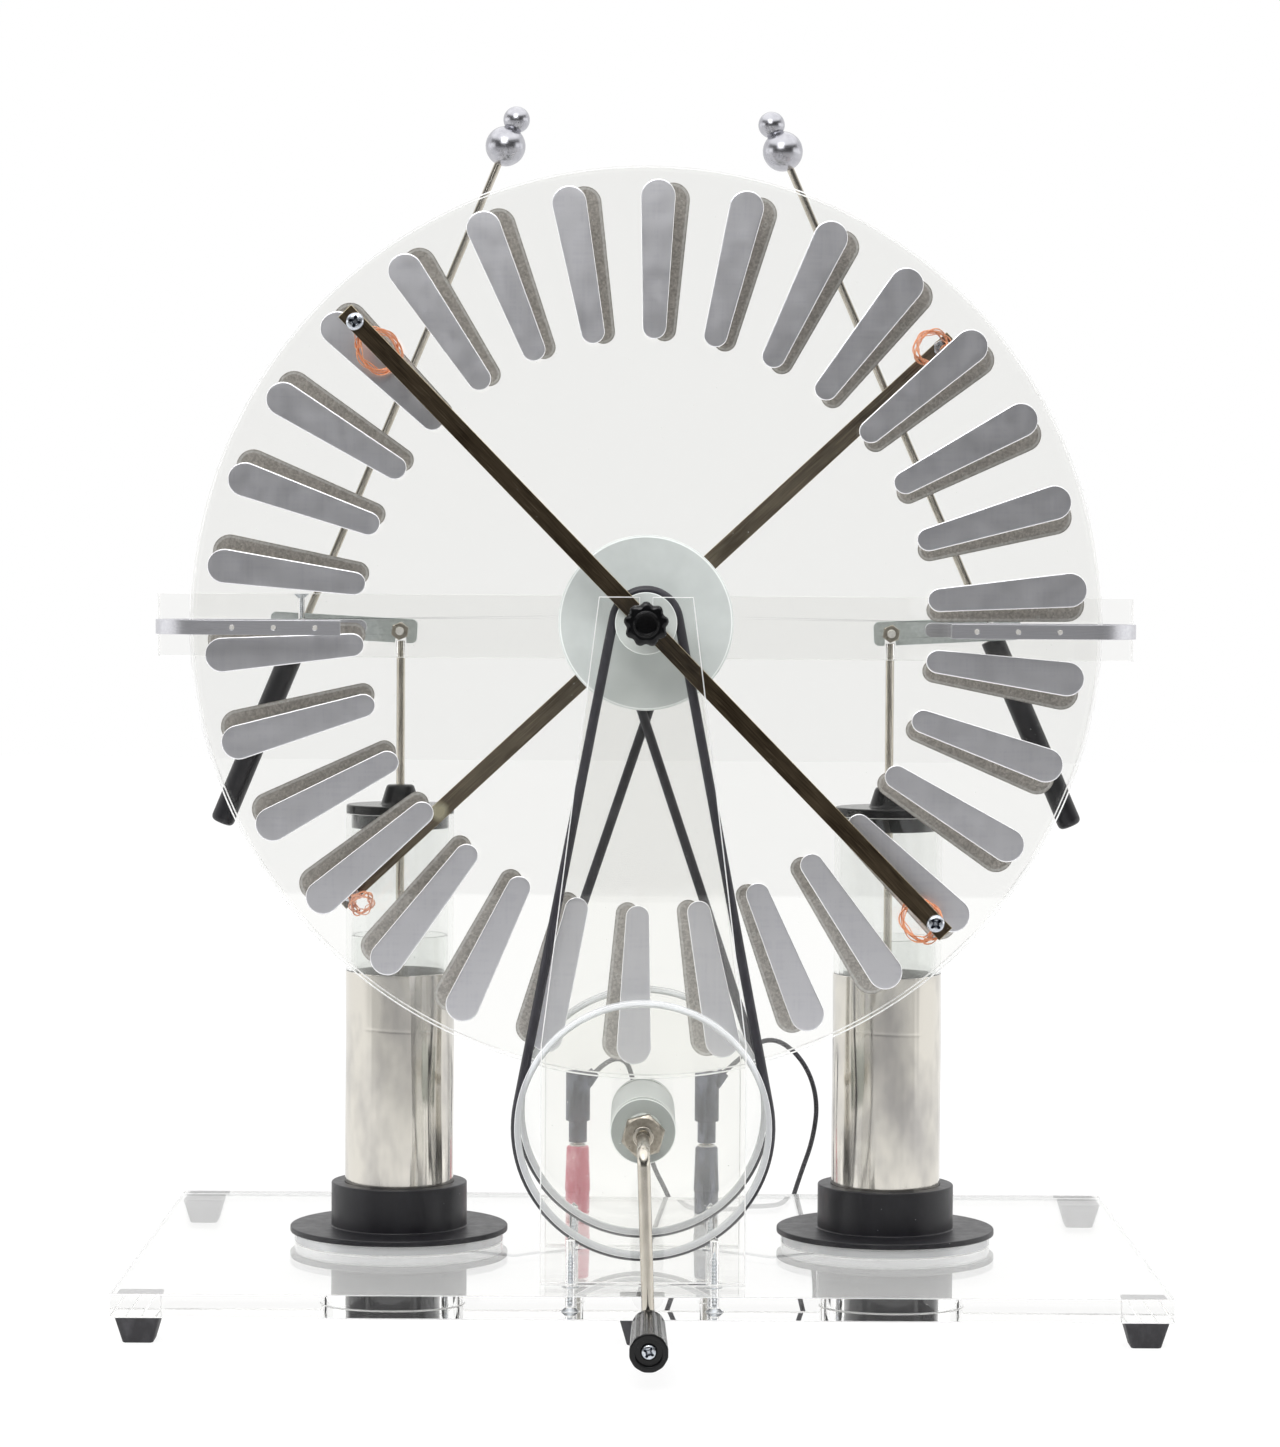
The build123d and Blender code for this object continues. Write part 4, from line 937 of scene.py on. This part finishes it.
holder_profile = softened([
    (2, -8), (24.5, -8), (24.5, 3.5), (38.5, 3.5), (38.5, 5.5), (24, 5.5), (24, 21), (19.25, 21),
    (19.25, 5.5), (2, 5.5), (2, -8),
], [0.4, 0.1, 0.4, 0.5, 0.5, 0.6, 0.5, 0.1, 0.1])
put("jar_holders", at_jars(holder_profile, 144), [holder_plastic], "stand")
lid_profile = softened([
    (1.5, 146.8), (17.15, 146.8), (17.15, 152), (19, 152), (19, 155), (6.9, 155), (4.7, 162), (1.5, 162),
    (1.5, 146.8),
], [0.4, 0.1, 0.35, 0.9, 0.9, 1.1, 0.3])
put("jar_lids", at_jars(lid_profile, 120), [black_plastic], "stand")

upright_folds = np.radians([
    18, 35.9, 56.6, 62.6, 75.7, 101, 128, 150, 196, 242, 284.3, 297.4, 303.4, 324.1, 341,
])
foil_inside, foil_outside = 19.02, 19.2


def wrapped(r, h, t):
    """Foil wound by hand: r + 0.05 (sin(3t + h/9) + sin(7t - h/14)), upright folds 0.05 mm high that wander
    by 0.015 sin(h/20 + 3t), a fold 0.02 mm deep at 76 mm, a lap 0.12 mm high behind, and a top edge that
    wavers by 0.15 mm."""
    wander = 0.015 * np.sin(h / 20 + 3 * t)
    folds = 0.05 * np.exp(-((t + wander)[..., None] - upright_folds) ** 2 / 0.032 ** 2).sum(-1)
    wave = 0.05 * (np.sin(3 * t + h / 9) + np.sin(7 * t - h / 14))
    fold = 0.02 * np.exp(-((h - 76 - 0.5 * np.sin(2 * t)) / 0.5) ** 2)
    lap = 0.12 * smooth((t - 1.9) / 0.04) * smooth((2.2 - t) / 0.3)
    top = 0.1 * smooth((h - 80) / 16) * (np.sin(2 * t + 1) + 0.6 * np.sin(5 * t))
    return np.where(r > 19.1, r + wave + folds - fold + lap, r), h + top


foil_sides = 300
foil_heights = np.concatenate([
    np.linspace(21.1, 74, 40), np.linspace(74.3, 78, 16), np.linspace(78.5, 95.8, 14),
])
foil_profile = np.concatenate([
    [(foil_inside, 5.6), (foil_outside, 5.6)],
    np.c_[np.full(len(foil_heights), foil_outside), foil_heights],
    [(19.17, 95.95), (foil_inside, 96), (foil_inside, 5.6)],
])
foil_rows = len(foil_profile) - 1
inside = np.repeat(np.arange(foil_rows) >= foil_rows - 2, foil_sides)
shape = at_jars(foil_profile, foil_sides, wrapped)
put("jar_foils", shape, [bright_foil, dry_glue_and_glint], "stand", np.tile(inside, 2))


# Sockets and plugs, with heights above the base

sleeve_profile = softened([
    (3, 0.02), (4.4, 0.02), (4.4, 7.9), (4.65, 8.4), (4.1, 24.3), (3.6, 24.8), (3, 24.8), (3, 0.02),
], [0.2, 0.2, 0.3, 0.3, 0.2, 0.1])
for name, x, finish in (("red", -socket_x, red_plastic), ("black", socket_x, plug_plastic)):
    put(f"{name}_sleeve", turned(sleeve_profile, (x, socket_y, base_top), (0, 0, 1), 64), [finish], "stand")
plug_profile = softened([
    (1.6, 26.2), (3.35, 26.2), (3.35, 34.2), (4.45, 34.2), (4.45, 52.6), (2.05, 52.6), (2.05, 42.6),
    (0, 42.6),
], [0.3, 0.1, 0.4, 0.7, 0.15, 0.1], 5)
boss_length = 6.6
boss_profile = softened([
    (0, -3), (3.1, -3), (3.0, 1.8), (2.3, 5.4), (2.05, boss_length), (0.9, boss_length),
], [0.2, 1, 1.2, 0.4])
plug_shapes = []
for x in (-socket_x, socket_x):
    socket = np.array([x, socket_y, base_top])
    plug_shapes.append(turned(plug_profile, socket, (0, 0, 1), 64))
    plug_shapes.append(turned(boss_profile, socket + plug_exit - heading * boss_length, heading, 40))
put("lead_plugs", together(*plug_shapes), [plug_plastic], "stand")


# Studio: white table and backdrop, a wide softbox above, a white panel at each side and the dark room behind
# the camera

table_front = -1.8
table_half = 4
mesh = bpy.data.meshes.new("table_top")
mesh.from_pydata([(-table_half, table_front, 0), (table_half, table_front, 0), (table_half, table_half, 0),
                  (-table_half, table_half, 0)], [], [(0, 1, 2, 3)])
floor = bpy.data.objects.new("table_top", mesh)
scene.collection.objects.link(floor)

# White painted table: matt, and glowing as white as the backdrop where it is seen; the glow falls off towards
# the room in front, a painted shade for the light that falls off there
white = (1, 1, 1, 1)
table_white, tree, shader, place = new_finish("table_white", {"Roughness": 0.6})
feed(tree, shader, {"Base Color": linear("#F4F4F4")})
path = add(tree, "ShaderNodeLightPath").outputs
seen = add(tree, "ShaderNodeMath", path["Is Camera Ray"], path["Is Glossy Ray"], operation="MAXIMUM")
seen = add(tree, "ShaderNodeMath", seen, path["Is Transmission Ray"], operation="MAXIMUM")
seen = add(tree, "ShaderNodeMath", seen, 0.86, operation="MULTIPLY")
toward = add(tree, "ShaderNodeSeparateXYZ", place).outputs["Y"]
# Painted shade: the glow falls from 1.03 to 0.6 towards the camera
painted_falloff = add(tree, "ShaderNodeMapRange", toward, -0.5, -0.26, 0.6, 1.03)
take_over(tree, seen, shader, add(tree, "ShaderNodeEmission", white, painted_falloff))
floor.data.materials.append(table_white)

# The room by direction: the camera sees plain white, and the metal sees the backdrop and the lit panels
softbox_light, panel_light, room_light = 1.6, 1.65, 0.08
world = bpy.data.worlds.new("studio")
scene.world = world
world.use_nodes = True
tree = world.node_tree
tree.nodes.clear()
way = add(tree, "ShaderNodeTexCoord").outputs["Generated"]
parts = add(tree, "ShaderNodeSeparateXYZ", way).outputs
backdrop = add(tree, "ShaderNodeMapRange", parts["Y"], 0, 0.12, 0, 1)
softbox = add(tree, "ShaderNodeMapRange", parts["Z"], 0.44, 0.6, 0, softbox_light)
wide = add(tree, "ShaderNodeMath", parts["X"], operation="ABSOLUTE")
panel = add(tree, "ShaderNodeMapRange", wide, 0.84, 0.9, 0, panel_light)
low = add(tree, "ShaderNodeMapRange", parts["Z"], 0.3, 0.16, 0, 1)
lit = add(tree, "ShaderNodeMath", panel, low, operation="MULTIPLY")
for other in (softbox, backdrop):
    lit = add(tree, "ShaderNodeMath", lit, other, operation="MAXIMUM")
lit = add(tree, "ShaderNodeMath", lit, 1 - room_light, operation="MULTIPLY")
lit = add(tree, "ShaderNodeMath", lit, room_light, operation="ADD")
by_camera = add(tree, "ShaderNodeLightPath").outputs["Is Camera Ray"]
by_metal = add(tree, "ShaderNodeMath", 1, by_camera, operation="SUBTRACT")
lit = add(tree, "ShaderNodeMath", lit, by_metal, operation="MULTIPLY")
lit = add(tree, "ShaderNodeMath", lit, by_camera, operation="ADD")
add(tree, "ShaderNodeOutputWorld", add(tree, "ShaderNodeBackground", white, lit))


def lamp(name, place, aim, size, power, mirrored=False):
    """A soft square lamp. It is seen in metal and polished plastic only if mirrored."""
    data = bpy.data.lights.new(name, "AREA")
    data.shape = "SQUARE"
    data.size = size
    data.energy = power
    made = bpy.data.objects.new(name, data)
    scene.collection.objects.link(made)
    back = np.subtract(place, aim) / np.linalg.norm(np.subtract(place, aim))
    side = np.cross((0, 0, 1), back)
    side /= np.linalg.norm(side)
    turn = np.eye(4)
    turn[:3] = np.column_stack([side, np.cross(back, side), back, place])
    made.matrix_world = Matrix(turn.tolist())
    made.visible_glossy = mirrored
    made.visible_transmission = False
    made.visible_camera = False


lamp("front_fill", (-0.4, -2.0, 1.5), (0, 0, 0.2), 1.4, 14)
lamp("top_softbox", (-0.12, -0.6, 0.74), (0, 0, 0.25), 0.4, 1.8, mirrored=True)
scene.cycles.max_bounces = 28
scene.cycles.transmission_bounces = 28
scene.cycles.glossy_bounces = 8
scene.cycles.transparent_max_bounces = 40
scene.view_settings.view_transform = "Standard"
